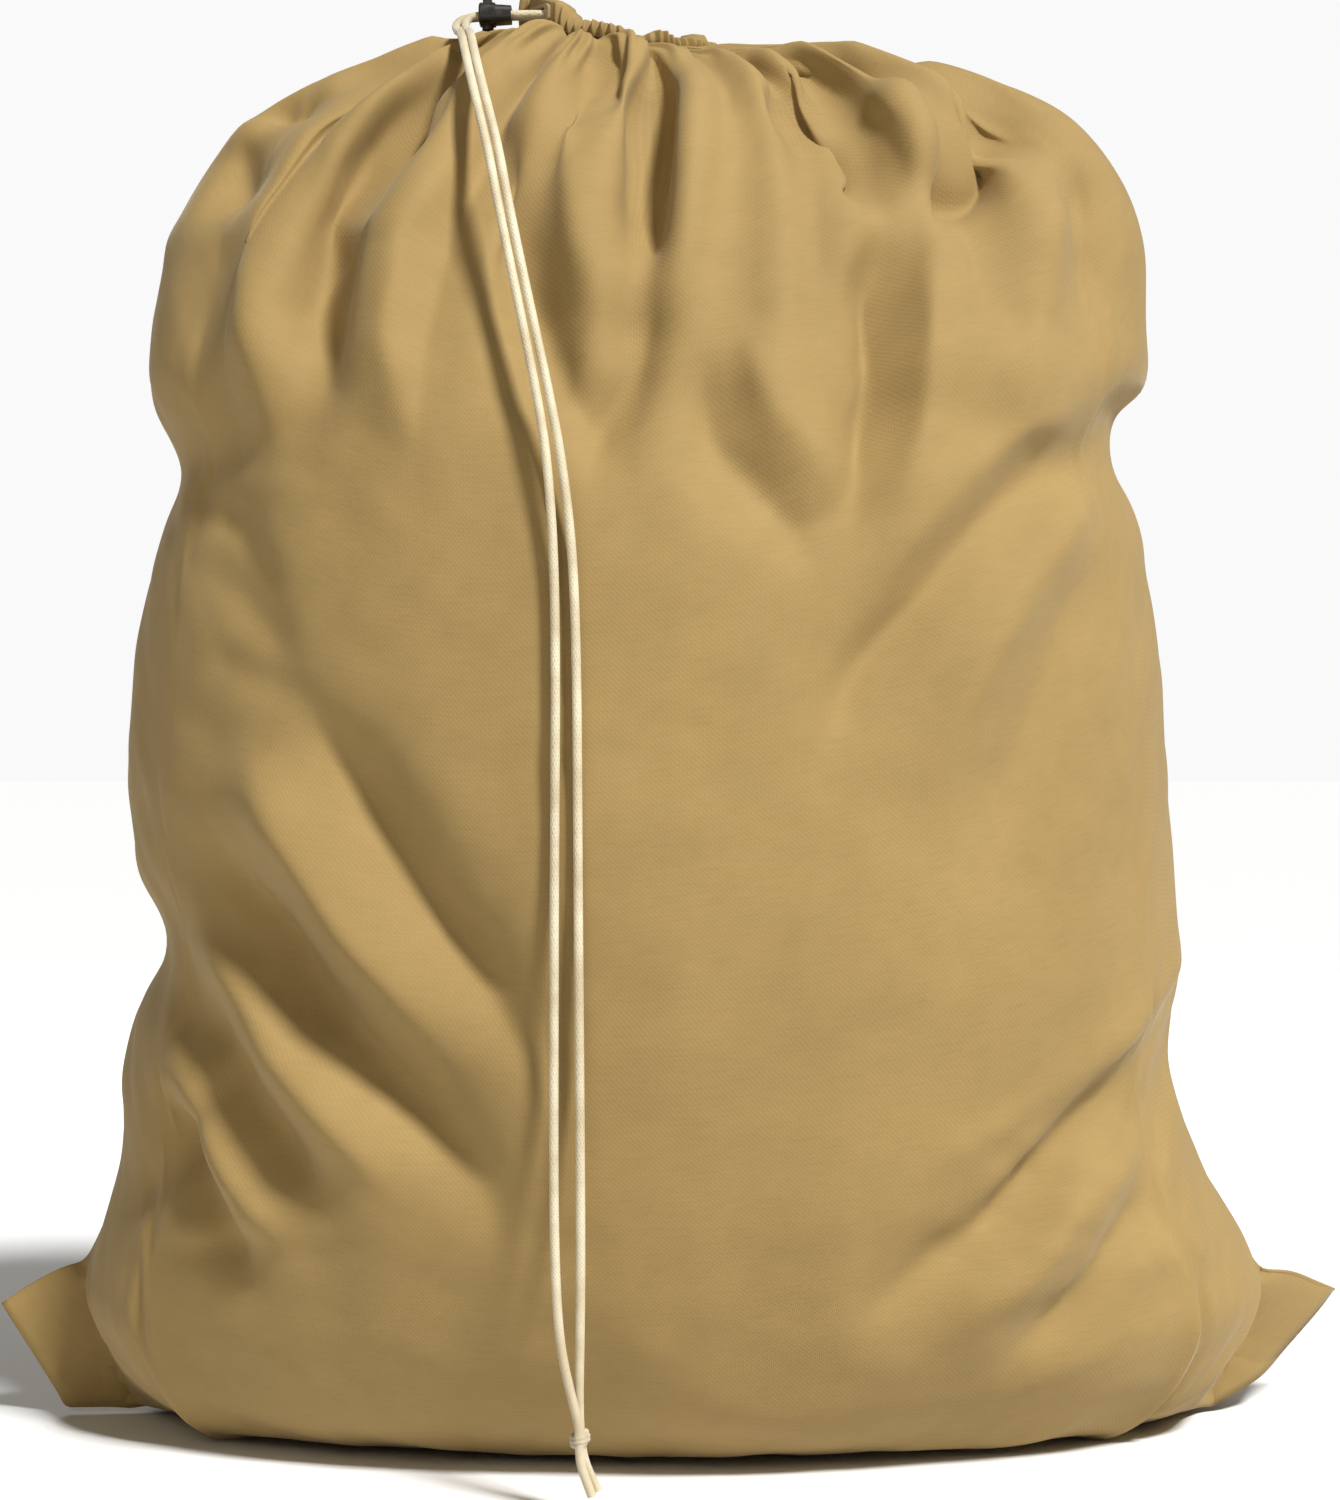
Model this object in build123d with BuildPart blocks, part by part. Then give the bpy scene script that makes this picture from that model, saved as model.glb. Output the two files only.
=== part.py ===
"""Drawstring laundry bag, stuffed full and standing on its base.

Units are millimetres. +X is the bag's right seen from the front, +Y is its back, +Z is up.
The origin is on the floor, at the centre of the bag's footprint box.
"""

import os
from math import asin, degrees, hypot, pi, radians, tan

from build123d import *

# ---------------------------------------------------------------- driving dimensions

# The stuffed bag's cross-sections: height, centre X, half width, half depth
SECTIONS = (
    (0, 0, 255, 95),
    (15, 0, 285, 135),
    (42, 1, 301, 158),
    (78, 2, 310, 175),
    (120, -4, 296, 188),
    (165, -12, 279, 197),
    (215, -8, 272, 202),
    (270, -2, 270, 205),
    (350, -12, 273, 203),
    (473, -9, 255, 195),
    (570, -14, 265, 178),
    (640, -7, 248, 150),
    (690, -6, 206, 105),
    (703, -7, 183, 84),
    (712, -10, 156, 68),
)
CANVAS = 1.2  # wall of each cloth panel
SEAM_LAYER = 2.0  # thickness of a seam allowance: four layers of canvas, pressed flat
SEAM_WIDTH = 10.0
SEAM_PLAY = 1.0  # between a side seam and the cloth it lies on
SEAM_FOOT = 120.0  # height where a side seam leaves the ear
SEAM_TOP = 690.0
BOTTOM_SEAM_LENGTH = 500.0
LOAD_GAP = 3.0  # between the load and the seam allowances
LOAD_BELOW_MOUTH = 12.0

# The mouth is drawn in to a small ring that leans to the right
MOUTH_LEAN = 2.0  # degrees
MOUTH_CENTRE = Vector(-28, 0, 719.5)
MOUTH_HALF_WIDTH = 58.0
MOUTH_HALF_DEPTH = 54.0
HEM_OUTER = 50.0  # radius over the gathered hem
HEM_INNER = 34.0  # radius of the hole that is left
HEM_HEIGHT = 24.0
OPENING = (12.0, 6.4)  # width and height of the cord's opening in the hem
OPENING_X = -57.0  # where the opening meets the channel
OPENING_ROUNDING = 2.0
BINDING = 1.0  # thickness of the stitched edge round the opening
BINDING_WIDTH = 1.8
BINDING_ROUNDING = 3.0
STITCHES = 60
STITCH = (0.7, 3.4, 0.7)  # outward, along the hem, and up
STITCH_LINE = 3.0  # above the mouth's plane
STITCH_GAP = 0.05  # between a straight stitch and the round hem

# Bottom corners of the flat bag, which stick out past the load
EAR_OUTLINE = ((253, 0), (318, 0), (354, 60), (310, 84), (307, 78), (299, 42), (284, 15))
EAR_PANEL = 3.0  # one panel with its seam allowance
EAR_TIP_RADIUS = 5.0

# Braided drawcord
CORD = 4.4  # diameter
ARC_SHARE = 0.45  # how much of the shorter run each rounded corner of a route takes up
CHANNEL = 6.4  # diameter of the hem's channel
CHANNEL_RADIUS = 42.0  # of the channel's centre line
CHANNEL_HEIGHT = 12.0  # above the mouth's plane
CORD_EXIT_Z = 732.5
FAR_STRAND_Y = -26.4
NEAR_STRAND_Y = -31.2

# Cord lock
LOCK_LEFT = -98.9
LOCK_COLLAR = 8.4  # length of the wide end that holds the plunger
LOCK_LENGTH = 16.7
LOCK_Y = (FAR_STRAND_Y + NEAR_STRAND_Y) / 2
LOCK_COLLAR_SIZE = (17.0, 11.0)
LOCK_COLLAR_ROUNDING = 4.5
LOCK_RIM_ROUNDING = 1.2
LOCK_NECK_SIZE = (15.6, 9.4)
LOCK_NECK_ROUNDING = 3.8
LOCK_NOSE_SIZE = (14.4, 8.2)
LOCK_NOSE_ROUNDING = 3.2
CORD_WINDOW = (10.6, 5.6)
CORD_WINDOW_ROUNDING = 2.0
PLUNGER_X = -94.4
PLUNGER_SIZE = (4.6, 13.2)
PLUNGER_TOP = 7.6  # above the strands' centre line
PLUNGER_BOTTOM = -3.6
PLUNGER_TRAVEL = 1.2
PLUNGER_PLAY = 0.2  # each side, in its slot
PLUNGER_END_PLAY = 0.1  # left under the plunger when it is pressed right down
PLUNGER_ROUNDING = 0.9
PLUNGER_BAR = 1.0  # thickness of the bar below the strands
PLUNGER_WINDOW_HEIGHT = 6.5
SPRING_DIAMETER = 4.0
SPRING_WIRE = 0.5
SPRING_LENGTH = 3.4
SPRING_TURNS = 2.5
SPRING_PLAY = 0.2  # round the spring, in its boss
BOSS_RADIUS = 3.0
BOSS_FLOOR = 0.8

# ---------------------------------------------------------------- the drawcord's two free strands
# Each runs straight through the cord lock, turns down over the bag's shoulder, lies on the front
# panel as far as its fullest part, and hangs plumb from there to the knot.

STRAND_LEFT = (
    (-58.0, FAR_STRAND_Y, CORD_EXIT_Z),
    (-104.6, FAR_STRAND_Y, CORD_EXIT_Z),
    (-111.0, -30.8, 727.5),
    (-109.6, -42.0, 721.0),
    (-106.0, -62.0, 716.5),
    (-101.8, -88.0, 698.5),
    (-95.0, -122.2, 671.5),
    (-87.5, -145.6, 642.0),
    (-81.6, -162.8, 612.0),
    (-71.6, -179.0, 565.0),
    (-61.9, -191.5, 518.5),
    (-57.0, -196.5, 488.5),
    (-53.6, -200.8, 443.5),
    (-52.8, -204.6, 386.0),
    (-53.2, -206.4, 322.0),
    (-53.5, -207.0, 258.0),
    (-53.7, -207.1, 195.0),
    (-53.6, -207.3, 135.0),
    (-52.4, -207.7, 98.0),
    (-50.2, -208.1, 75.0),
    (-45.6, -208.7, 55.0),
    (-42.4, -208.9, 43.0),
    (-41.6, -208.9, 35.0),
)
STRAND_RIGHT = (
    (-54.0, NEAR_STRAND_Y, CORD_EXIT_Z),
    (-101.8, NEAR_STRAND_Y, CORD_EXIT_Z),
    (-105.8, -35.8, 727.3),
    (-104.4, -45.5, 720.5),
    (-101.2, -63.5, 716.2),
    (-97.0, -89.0, 697.8),
    (-90.0, -122.8, 671.3),
    (-82.3, -146.4, 642.0),
    (-76.6, -163.4, 612.0),
    (-66.4, -179.5, 565.0),
    (-56.1, -192.0, 518.5),
    (-50.3, -196.5, 488.5),
    (-44.8, -201.0, 443.5),
    (-43.0, -204.8, 386.0),
    (-42.6, -206.4, 322.0),
    (-42.2, -207.0, 258.0),
    (-41.7, -207.0, 195.0),
    (-41.3, -206.7, 135.0),
    (-41.4, -206.2, 98.0),
    (-41.8, -205.6, 75.0),
    (-42.2, -204.9, 55.0),
    (-42.0, -204.2, 43.0),
    (-41.7, -204.0, 35.0),
)
KNOT_CENTRE = (-41.7, -206.4, 34.5)
KNOT_RADIUS = 4.7
KNOT_HALF_HEIGHT = 4.2
KNOT_ROUNDING = 3.2
TAIL_FRONT = (
    (-42.2, -208.8, 32.5),
    (-41.5, -209.0, 24.5),
    (-38.9, -209.3, 16.5),
    (-36.0, -209.5, 9.0),
)
TAIL_BACK = (
    (-41.1, -204.2, 32.5),
    (-40.0, -204.0, 24.8),
    (-36.9, -203.8, 17.0),
    (-33.6, -203.6, 10.0),
)

# ---------------------------------------------------------------- shared planes and shapes

MOUTH_PLANE = Plane(
    origin=MOUTH_CENTRE,
    x_dir=Vector(1, 0, 0).rotate(Axis.Y, MOUTH_LEAN),
    z_dir=Vector(0, 0, 1).rotate(Axis.Y, MOUTH_LEAN),
)
MOUTH_SECTION = (MOUTH_CENTRE.Z, MOUTH_CENTRE.X, MOUTH_HALF_WIDTH, MOUTH_HALF_DEPTH)
FLOOR_HEIGHT, FLOOR_CENTRE_X, FLOOR_HALF_WIDTH, FLOOR_HALF_DEPTH = SECTIONS[0]


def plan_wall(index, column):
    """The canvas's thickness measured level, at one section: more where the bag slopes."""
    below = SECTIONS[max(index - 1, 0)]
    above = (*SECTIONS, MOUTH_SECTION)[index + 1]
    slope = (above[column] - below[column]) / (above[0] - below[0])
    return CANVAS * hypot(1, slope)


def cloth_panel(label, side):
    """One side of the bag: half-ring sections up to the mouth, a flat base and two ears."""
    with BuildPart() as panel:
        for index, (height, centre_x, half_width, half_depth) in enumerate(SECTIONS):
            with BuildSketch(Plane(origin=(centre_x, 0, height))):
                Ellipse(half_width, half_depth)
                Ellipse(
                    half_width - plan_wall(index, 2),
                    half_depth - plan_wall(index, 3),
                    mode=Mode.SUBTRACT,
                )
                split(bisect_by=Plane.XZ, keep=side)
        with BuildSketch(MOUTH_PLANE):
            Ellipse(MOUTH_HALF_WIDTH, MOUTH_HALF_DEPTH)
            Circle(HEM_INNER, mode=Mode.SUBTRACT)
            split(bisect_by=Plane.XZ, keep=side)
        loft(ruled=True)
        with BuildSketch(Plane(origin=(FLOOR_CENTRE_X, 0, FLOOR_HEIGHT))):
            Ellipse(FLOOR_HALF_WIDTH, FLOOR_HALF_DEPTH)
            split(bisect_by=Plane.XZ, keep=side)
        extrude(amount=CANVAS)
        with BuildSketch(Plane.XZ) as ears:
            with BuildLine():
                Polyline(*EAR_OUTLINE, close=True)
            make_face()
            fillet(ears.vertices().sort_by(Axis.X)[-1], radius=EAR_TIP_RADIUS)
            mirror(about=Plane.YZ)
        extrude(amount=EAR_PANEL if side == Keep.TOP else -EAR_PANEL)
    save(panel, label)


def filling(inset, mouth_drop):
    """The shape that the cloth encloses, smaller by inset all over, with its mouth face lowered."""
    top = SECTIONS[-1][0]
    with BuildPart() as volume:
        for height, centre_x, half_width, half_depth in SECTIONS:
            level = inset + height * (top - 2 * inset) / top
            with BuildSketch(Plane(origin=(centre_x, 0, level))):
                Ellipse(half_width - inset, half_depth - inset)
        with BuildSketch(MOUTH_PLANE.offset(-mouth_drop)):
            Ellipse(MOUTH_HALF_WIDTH - inset, MOUTH_HALF_DEPTH - inset)
        loft(ruled=True)
    return volume.part


def side_seam(label, side):
    """A seam allowance that follows the bag's edge, on the back panel's face. side is -1 or 1."""
    with BuildPart() as seam:
        for index, (height, centre_x, half_width, half_depth) in enumerate(SECTIONS):
            if SEAM_FOOT <= height <= SEAM_TOP:
                edge = half_width - plan_wall(index, 2) - SEAM_PLAY - SEAM_LAYER / 2
                with BuildSketch(Plane(origin=(centre_x + side * edge, SEAM_WIDTH / 2, height))):
                    Rectangle(SEAM_LAYER, SEAM_WIDTH)
        loft(ruled=True)
    save(seam, label)


def corner_radii(points):
    """The radius of the arc that rounds each corner of a route."""
    radii = []
    for before, corner, after in zip(points, points[1:], points[2:]):
        run_in = Vector(*corner) - Vector(*before)
        run_out = Vector(*after) - Vector(*corner)
        shorter_run = min(run_in.length, run_out.length)
        half_turn = radians(run_in.get_angle(run_out) / 2)
        radii.append(ARC_SHARE * shorter_run / tan(half_turn))
    return radii


def cord_tube(label, points):
    """A length of drawcord along a route of straight runs joined by tangent arcs."""
    radii = corner_radii(points)
    with BuildPart() as tube:
        with BuildLine():
            route = FilletPolyline(*points, radius=radii)
        with BuildSketch(Plane(origin=route @ 0, z_dir=route % 0)):
            Circle(CORD / 2)
        sweep()
    filled = tube.part.volume / (route.length * pi * CORD**2 / 4)
    print(label, "length", round(route.length, 1), "volume over section x length", round(filled, 4))
    print("  corner radii", [round(radius, 1) for radius in radii])
    save(tube, label)


def save(piece, label):
    """Label a finished piece and write it to its own file."""
    piece.part.label = label
    export_step(piece.part, f"parts/{label}.step")


os.makedirs("parts", exist_ok=True)

# ---------------------------------------------------------------- cloth panels and their seams

cloth_panel("front_panel", Keep.TOP)
cloth_panel("back_panel", Keep.BOTTOM)
side_seam("left_side_seam", -1)
side_seam("right_side_seam", 1)

with BuildPart() as bottom_seam:
    with BuildSketch(Plane.XY.offset(CANVAS)):
        Rectangle(BOTTOM_SEAM_LENGTH, SEAM_WIDTH, align=(Align.CENTER, Align.MIN))
    extrude(amount=SEAM_LAYER)
save(bottom_seam, "bottom_seam")

# ---------------------------------------------------------------- what the bag holds

with BuildPart() as laundry_load:
    add(filling(CANVAS + SEAM_PLAY + SEAM_LAYER + LOAD_GAP, mouth_drop=LOAD_BELOW_MOUTH))
save(laundry_load, "laundry_load")

# ---------------------------------------------------------------- gathered hem with its cord channel

CHANNEL_PLANE = MOUTH_PLANE.offset(CHANNEL_HEIGHT)
OPENING_PLANE = Plane(origin=(OPENING_X, LOCK_Y, CORD_EXIT_Z), x_dir=(0, 1, 0), z_dir=(-1, 0, 0))

with BuildPart() as hem:
    with BuildSketch(MOUTH_PLANE):
        Circle(HEM_OUTER)
        Circle(HEM_INNER, mode=Mode.SUBTRACT)
    extrude(amount=HEM_HEIGHT)
    with Locations(CHANNEL_PLANE):
        Torus(CHANNEL_RADIUS, CHANNEL / 2, mode=Mode.SUBTRACT)
    with BuildSketch(OPENING_PLANE):
        RectangleRounded(*OPENING, radius=OPENING_ROUNDING)
    extrude(amount=HEM_OUTER, mode=Mode.SUBTRACT)

with BuildPart() as front_hem:
    add(hem.part)
    split(bisect_by=Plane.XZ, keep=Keep.TOP)
save(front_hem, "front_hem")

with BuildPart() as back_hem:
    add(hem.part)
    split(bisect_by=Plane.XZ, keep=Keep.BOTTOM)
save(back_hem, "back_hem")

with BuildPart() as buttonhole_binding:
    with BuildSketch(MOUTH_PLANE):
        Circle(HEM_OUTER + BINDING)
        Circle(HEM_OUTER, mode=Mode.SUBTRACT)
    extrude(amount=HEM_HEIGHT)
    with BuildSketch(OPENING_PLANE):
        bound_width, bound_height = (size + 2 * BINDING_WIDTH for size in OPENING)
        RectangleRounded(bound_width, bound_height, radius=BINDING_ROUNDING)
        RectangleRounded(*OPENING, radius=OPENING_ROUNDING, mode=Mode.SUBTRACT)
    extrude(amount=HEM_OUTER, mode=Mode.INTERSECT)
save(buttonhole_binding, "buttonhole_binding")

with BuildPart() as hem_stitching:
    with Locations(MOUTH_PLANE.offset(STITCH_LINE)):
        with PolarLocations(HEM_OUTER + STITCH[0] / 2 + STITCH_GAP, STITCHES):
            Box(*STITCH)
save(hem_stitching, "hem_stitching")

# ---------------------------------------------------------------- drawcord

FAR_END = 180 + degrees(asin(-FAR_STRAND_Y / CHANNEL_RADIUS))
NEAR_END = 180 + degrees(asin(-NEAR_STRAND_Y / CHANNEL_RADIUS))

with BuildPart() as drawcord_loop:
    with BuildLine(CHANNEL_PLANE):
        loop_route = CenterArc((0, 0), CHANNEL_RADIUS, NEAR_END, 360 - (NEAR_END - FAR_END))
    with BuildSketch(Plane(origin=loop_route @ 0, z_dir=loop_route % 0)):
        Circle(CORD / 2)
    sweep()
save(drawcord_loop, "drawcord_loop")

cord_tube("drawcord_strand_left", STRAND_LEFT)
cord_tube("drawcord_strand_right", STRAND_RIGHT)
cord_tube("drawcord_tail_front", TAIL_FRONT)
cord_tube("drawcord_tail_back", TAIL_BACK)

with BuildPart() as drawcord_knot:
    with BuildSketch(Plane(origin=KNOT_CENTRE)):
        Circle(KNOT_RADIUS)
    extrude(amount=KNOT_HALF_HEIGHT, both=True)
    fillet(drawcord_knot.edges().filter_by(GeomType.CIRCLE), radius=KNOT_ROUNDING)
save(drawcord_knot, "drawcord_knot")

# ---------------------------------------------------------------- cord lock

LOCK_PLANE = Plane(origin=(LOCK_LEFT, LOCK_Y, CORD_EXIT_Z), x_dir=(0, 1, 0), z_dir=(1, 0, 0))
PLUNGER_PLANE = Plane(origin=(PLUNGER_X, LOCK_Y, CORD_EXIT_Z))
SLOT_FLOOR = PLUNGER_BOTTOM - PLUNGER_TRAVEL - PLUNGER_END_PLAY
SPRING_SEAT = PLUNGER_BOTTOM - SPRING_LENGTH

with BuildPart() as cord_lock_body:
    with BuildSketch(LOCK_PLANE):
        RectangleRounded(*LOCK_COLLAR_SIZE, radius=LOCK_COLLAR_ROUNDING)
    extrude(amount=LOCK_COLLAR)
    fillet(cord_lock_body.faces().sort_by(Axis.X)[0].edges(), radius=LOCK_RIM_ROUNDING)
    with BuildSketch(LOCK_PLANE.offset(LOCK_COLLAR)):
        RectangleRounded(*LOCK_NECK_SIZE, radius=LOCK_NECK_ROUNDING)
    with BuildSketch(LOCK_PLANE.offset(LOCK_LENGTH)):
        RectangleRounded(*LOCK_NOSE_SIZE, radius=LOCK_NOSE_ROUNDING)
    loft()
    with BuildSketch(PLUNGER_PLANE.offset(SPRING_SEAT - BOSS_FLOOR)):
        Circle(BOSS_RADIUS)
    extrude(amount=SLOT_FLOOR - SPRING_SEAT + BOSS_FLOOR)
    with BuildSketch(LOCK_PLANE):
        RectangleRounded(*CORD_WINDOW, radius=CORD_WINDOW_ROUNDING)
    extrude(amount=LOCK_LENGTH, mode=Mode.SUBTRACT)
    with BuildSketch(PLUNGER_PLANE.offset(SLOT_FLOOR)):
        Rectangle(PLUNGER_SIZE[0] + 2 * PLUNGER_PLAY, PLUNGER_SIZE[1] + 2 * PLUNGER_PLAY)
    extrude(amount=PLUNGER_TOP - SLOT_FLOOR, mode=Mode.SUBTRACT)
    with BuildSketch(PLUNGER_PLANE.offset(SPRING_SEAT)):
        Circle(SPRING_DIAMETER / 2 + SPRING_PLAY)
    extrude(amount=SLOT_FLOOR - SPRING_SEAT, mode=Mode.SUBTRACT)
save(cord_lock_body, "cord_lock_body")

PLUNGER_WINDOW_CENTRE = PLUNGER_BOTTOM + PLUNGER_BAR + PLUNGER_WINDOW_HEIGHT / 2

with BuildPart() as cord_lock_plunger:
    with BuildSketch(PLUNGER_PLANE.offset(PLUNGER_BOTTOM)):
        Rectangle(*PLUNGER_SIZE)
    extrude(amount=PLUNGER_TOP - PLUNGER_BOTTOM)
    top_edges = cord_lock_plunger.faces().sort_by(Axis.Z)[-1].edges()
    fillet(top_edges, radius=PLUNGER_ROUNDING)
    with BuildSketch(LOCK_PLANE):
        with Locations((0, PLUNGER_WINDOW_CENTRE)):
            RectangleRounded(CORD_WINDOW[0], PLUNGER_WINDOW_HEIGHT, radius=CORD_WINDOW_ROUNDING)
    extrude(amount=LOCK_LENGTH, mode=Mode.SUBTRACT)
save(cord_lock_plunger, "cord_lock_plunger")

with BuildPart() as cord_lock_spring:
    coil_height = SPRING_LENGTH - SPRING_WIRE
    coil_centre = (PLUNGER_X, LOCK_Y, CORD_EXIT_Z + SPRING_SEAT + SPRING_WIRE / 2)
    with BuildLine():
        coil = Helix(
            pitch=coil_height / SPRING_TURNS,
            height=coil_height,
            radius=(SPRING_DIAMETER - SPRING_WIRE) / 2,
            center=coil_centre,
        )
    with BuildSketch(Plane(origin=coil @ 0, z_dir=coil % 0)):
        Circle(SPRING_WIRE / 2)
    sweep(is_frenet=True)
save(cord_lock_spring, "cord_lock_spring")
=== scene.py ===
"""Looks of the drawstring laundry bag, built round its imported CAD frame.

Everything is in metres in the CAD's own frame: +X is the bag's right seen from the front,
+Y is its back, +Z is up, and the floor is at Z = 0.
"""

import math

import bmesh
import bpy
import numpy as np
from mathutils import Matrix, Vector, noise


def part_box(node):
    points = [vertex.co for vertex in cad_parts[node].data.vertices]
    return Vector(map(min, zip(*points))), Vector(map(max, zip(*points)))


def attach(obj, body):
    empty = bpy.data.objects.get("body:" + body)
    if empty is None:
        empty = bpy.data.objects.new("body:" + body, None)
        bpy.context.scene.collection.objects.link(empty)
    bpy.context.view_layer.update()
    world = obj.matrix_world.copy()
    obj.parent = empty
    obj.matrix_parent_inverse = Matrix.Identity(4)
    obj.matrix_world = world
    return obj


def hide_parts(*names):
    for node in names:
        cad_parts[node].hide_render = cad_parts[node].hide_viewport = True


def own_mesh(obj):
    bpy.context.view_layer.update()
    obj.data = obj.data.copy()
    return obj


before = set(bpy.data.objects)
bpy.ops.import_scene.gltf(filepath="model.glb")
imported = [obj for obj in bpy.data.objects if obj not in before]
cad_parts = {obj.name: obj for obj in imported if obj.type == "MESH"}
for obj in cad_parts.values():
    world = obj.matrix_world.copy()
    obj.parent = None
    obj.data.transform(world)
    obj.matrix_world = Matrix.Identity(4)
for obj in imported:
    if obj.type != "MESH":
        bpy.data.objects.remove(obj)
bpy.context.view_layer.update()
SEED = 7

# ---------------------------------------------------------------- the bag's cloth, laid flat
FLAT_WIDTH = 0.762
FLAT_HEIGHT = 0.925  # from the bottom seam to the gathering line under the hem
COLUMNS = 192  # round the whole bag, from the left seam by the front
ROWS = 116
CLOTH_THICKNESS = 0.0009

# ---------------------------------------------------------------- the stuffed bag's sections
# height, left edge, right edge, half depth
SECTIONS = (
    (0.000, -0.255, 0.255, 0.095),
    (0.015, -0.285, 0.285, 0.135),
    (0.042, -0.300, 0.302, 0.158),
    (0.078, -0.306, 0.311, 0.175),
    (0.110, -0.296, 0.293, 0.186),
    (0.145, -0.286, 0.273, 0.194),
    (0.192, -0.285, 0.262, 0.200),
    (0.229, -0.277, 0.266, 0.204),
    (0.258, -0.267, 0.268, 0.205),
    (0.300, -0.280, 0.263, 0.205),
    (0.350, -0.285, 0.261, 0.203),
    (0.420, -0.278, 0.255, 0.199),
    (0.467, -0.269, 0.250, 0.195),
    (0.515, -0.262, 0.233, 0.188),
    (0.560, -0.277, 0.253, 0.179),
    (0.600, -0.272, 0.251, 0.167),
    (0.635, -0.267, 0.252, 0.152),
    (0.666, -0.250, 0.245, 0.131),
    (0.690, -0.232, 0.228, 0.108),
    (0.708, -0.204, 0.202, 0.084),
    (0.716, -0.178, 0.174, 0.070),
    (0.721, -0.146, 0.136, 0.057),
)
SECTION_STEP = 0.004
SECTION_SOFTENING = 0.008

# ---------------------------------------------------------------- mouth and hem
HEM_LOW, HEM_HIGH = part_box("front_hem")
MOUTH_X = (HEM_LOW.x + HEM_HIGH.x) / 2
GATHERING_LIFT = 0.002  # of the gathering line above the foot of the hem
GATHERING_Z = HEM_LOW.z + GATHERING_LIFT
MOUTH_LEAN = math.radians(2)
GATHER_RADIUS = 0.0480
GATHER_RISE = 0.0015  # of the cloth's edge inside the hem
HELD_EDGE = (0.002, 0.026)  # distances from the gathering between which creases fade in
COLLAR_LIFTS = {-1: 0.004, 1: -0.002}  # how far the cloth puffs up on each side of the gathering
COLLAR_STEPS = (0.4, 0.75)  # shares of the way in to the gathering where it does so

# ---------------------------------------------------------------- bottom corners of the flat bag
EAR_FOOT = np.array((0.287, 0.0, 0.0))
EAR_KNEES = {-1: np.array((0.320, 0.0, 0.003)), 1: np.array((0.317, 0.0, 0.018))}
EAR_TIPS = {-1: np.array((0.353, 0.0, 0.060)), 1: np.array((0.361, 0.0, 0.058))}
EAR_SHOULDER = np.array((0.309, 0.0, 0.087))
EAR_FLAT_WIDTH = 0.096
EAR_FLAT_HEIGHT = 0.050
EAR_SWING = {-1: -0.010, 1: 0.038}  # how far each tip turns to the back
EAR_CURL = 1.4
EAR_HELD = 0.75  # share of each ear that keeps its place while the cloth settles
EAR_GAP = 0.002  # from the middle of an ear to each of its two layers
EAR_TURN_HEIGHT = 0.012  # of the round where an ear's root turns up into the wall
FOOT_GAP = 0.0015  # from the bottom seam to the cloth on each side of it
FOOT_HEIGHT = 0.0008

# ---------------------------------------------------------------- gathered folds under the mouth
# place across the front at VALLEY_LEVEL, and how deep that valley is beside the others
FRONT_VALLEYS = (
    (-0.203, 0.9),
    (-0.160, 0.9),
    (-0.104, 1.1),
    (-0.060, 0.4),
    (-0.012, 0.9),
    (0.030, 0.3),
    (0.072, 1.1),
    (0.112, 0.3),
    (0.150, 0.9),
    (0.206, 0.6),
)
VALLEY_LEVEL = 0.645
BACK_VALLEYS = 11
BACK_SCATTER = (-0.22, 0.22)  # how far each is from even spacing, as a share of it
BACK_DEPTHS = (0.7, 1.2)
CREST_SHARE = 0.6  # of the fold depth that lies inside the smooth bag
FULL_FOLD_GAP = 0.045  # share of the way round between valleys where folds are full depth
MOST_FOLD = 1.3
FOLD_ROUNDNESS = (0.7, 1.1)  # at the gathering, and what is added further down
# distance from the gathering along the cloth, and depth of the folds there
FOLD_DEPTH = (
    (0.00, 0.010),
    (0.02, 0.019),
    (0.06, 0.022),
    (0.11, 0.016),
    (0.18, 0.008),
    (0.26, 0.003),
    (0.34, 0.000),
)
FOLD_SOFTENING = (0.02, 0.16)  # distances from the gathering between which folds turn rounder
SMALL_PLEATS = 96
SMALL_PLEAT_DEPTH = 0.0036
SMALL_PLEAT_FADE = (0.004, 0.055)  # distances from the gathering between which they fade

# ---------------------------------------------------------------- how the cloth settles
LOAD_INSET = 0.004
LOAD_TOP_INSET = 0.026
LOAD_DROP = 0.015  # of the load's shoulders below the bag's
LOAD_BASE = 0.003
GROUND_HEIGHT = -0.0015
COLLISION_GAP = 0.002
CLOTH_QUALITY = 6
CLOTH_MASS = 0.2
CLOTH_TENSION = 30
CLOTH_COMPRESSION = 15
CLOTH_SHEAR = 15
CLOTH_BENDING = 3
CLOTH_DAMPING = 15
BEND_DAMPING = 2
AIR_DAMPING = 2
CLOTH_PRESSURE = 1.2
CLOTH_GRAVITY = 0.3
SETTLING_FRAMES = 25
SETTLING_CAP = 0.022  # the furthest that any cloth point may move
MOVEMENT_BLUR = 3  # passes that take out ripples as small as the grid

# ---------------------------------------------------------------- finished cloth mesh
COLUMN_SPLIT = 3
ROW_SPLIT = 2
SEAM_ALLOWANCE = 0.010
SEAM_THICKNESS = 0.0016
SEAM_GAP = 0.0005  # between the panel and its allowance
SEAM_FIRST_ROW = 14  # of the cloth's mesh, where the side seams start
SEAM_TOP = 0.90  # share of the panel's height where they end
SEAM_CORNER = 36  # columns of the cloth's mesh left free at each end of the bottom seam
RIPPLES = 40
RIPPLE_LENGTHS = (0.022, 0.11)
RIPPLE_STEEPNESS = 0.0017
CREASE_BLUR = 2
CREASE_SHARPNESS = 1.35
CREASE_FADES = ((0.0, 0.3), (0.6, 1.0))  # shares of its length where a crease fades in and out
SEEN_FACE = 0.35  # how squarely cloth faces front or back before it takes a full crease
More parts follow.
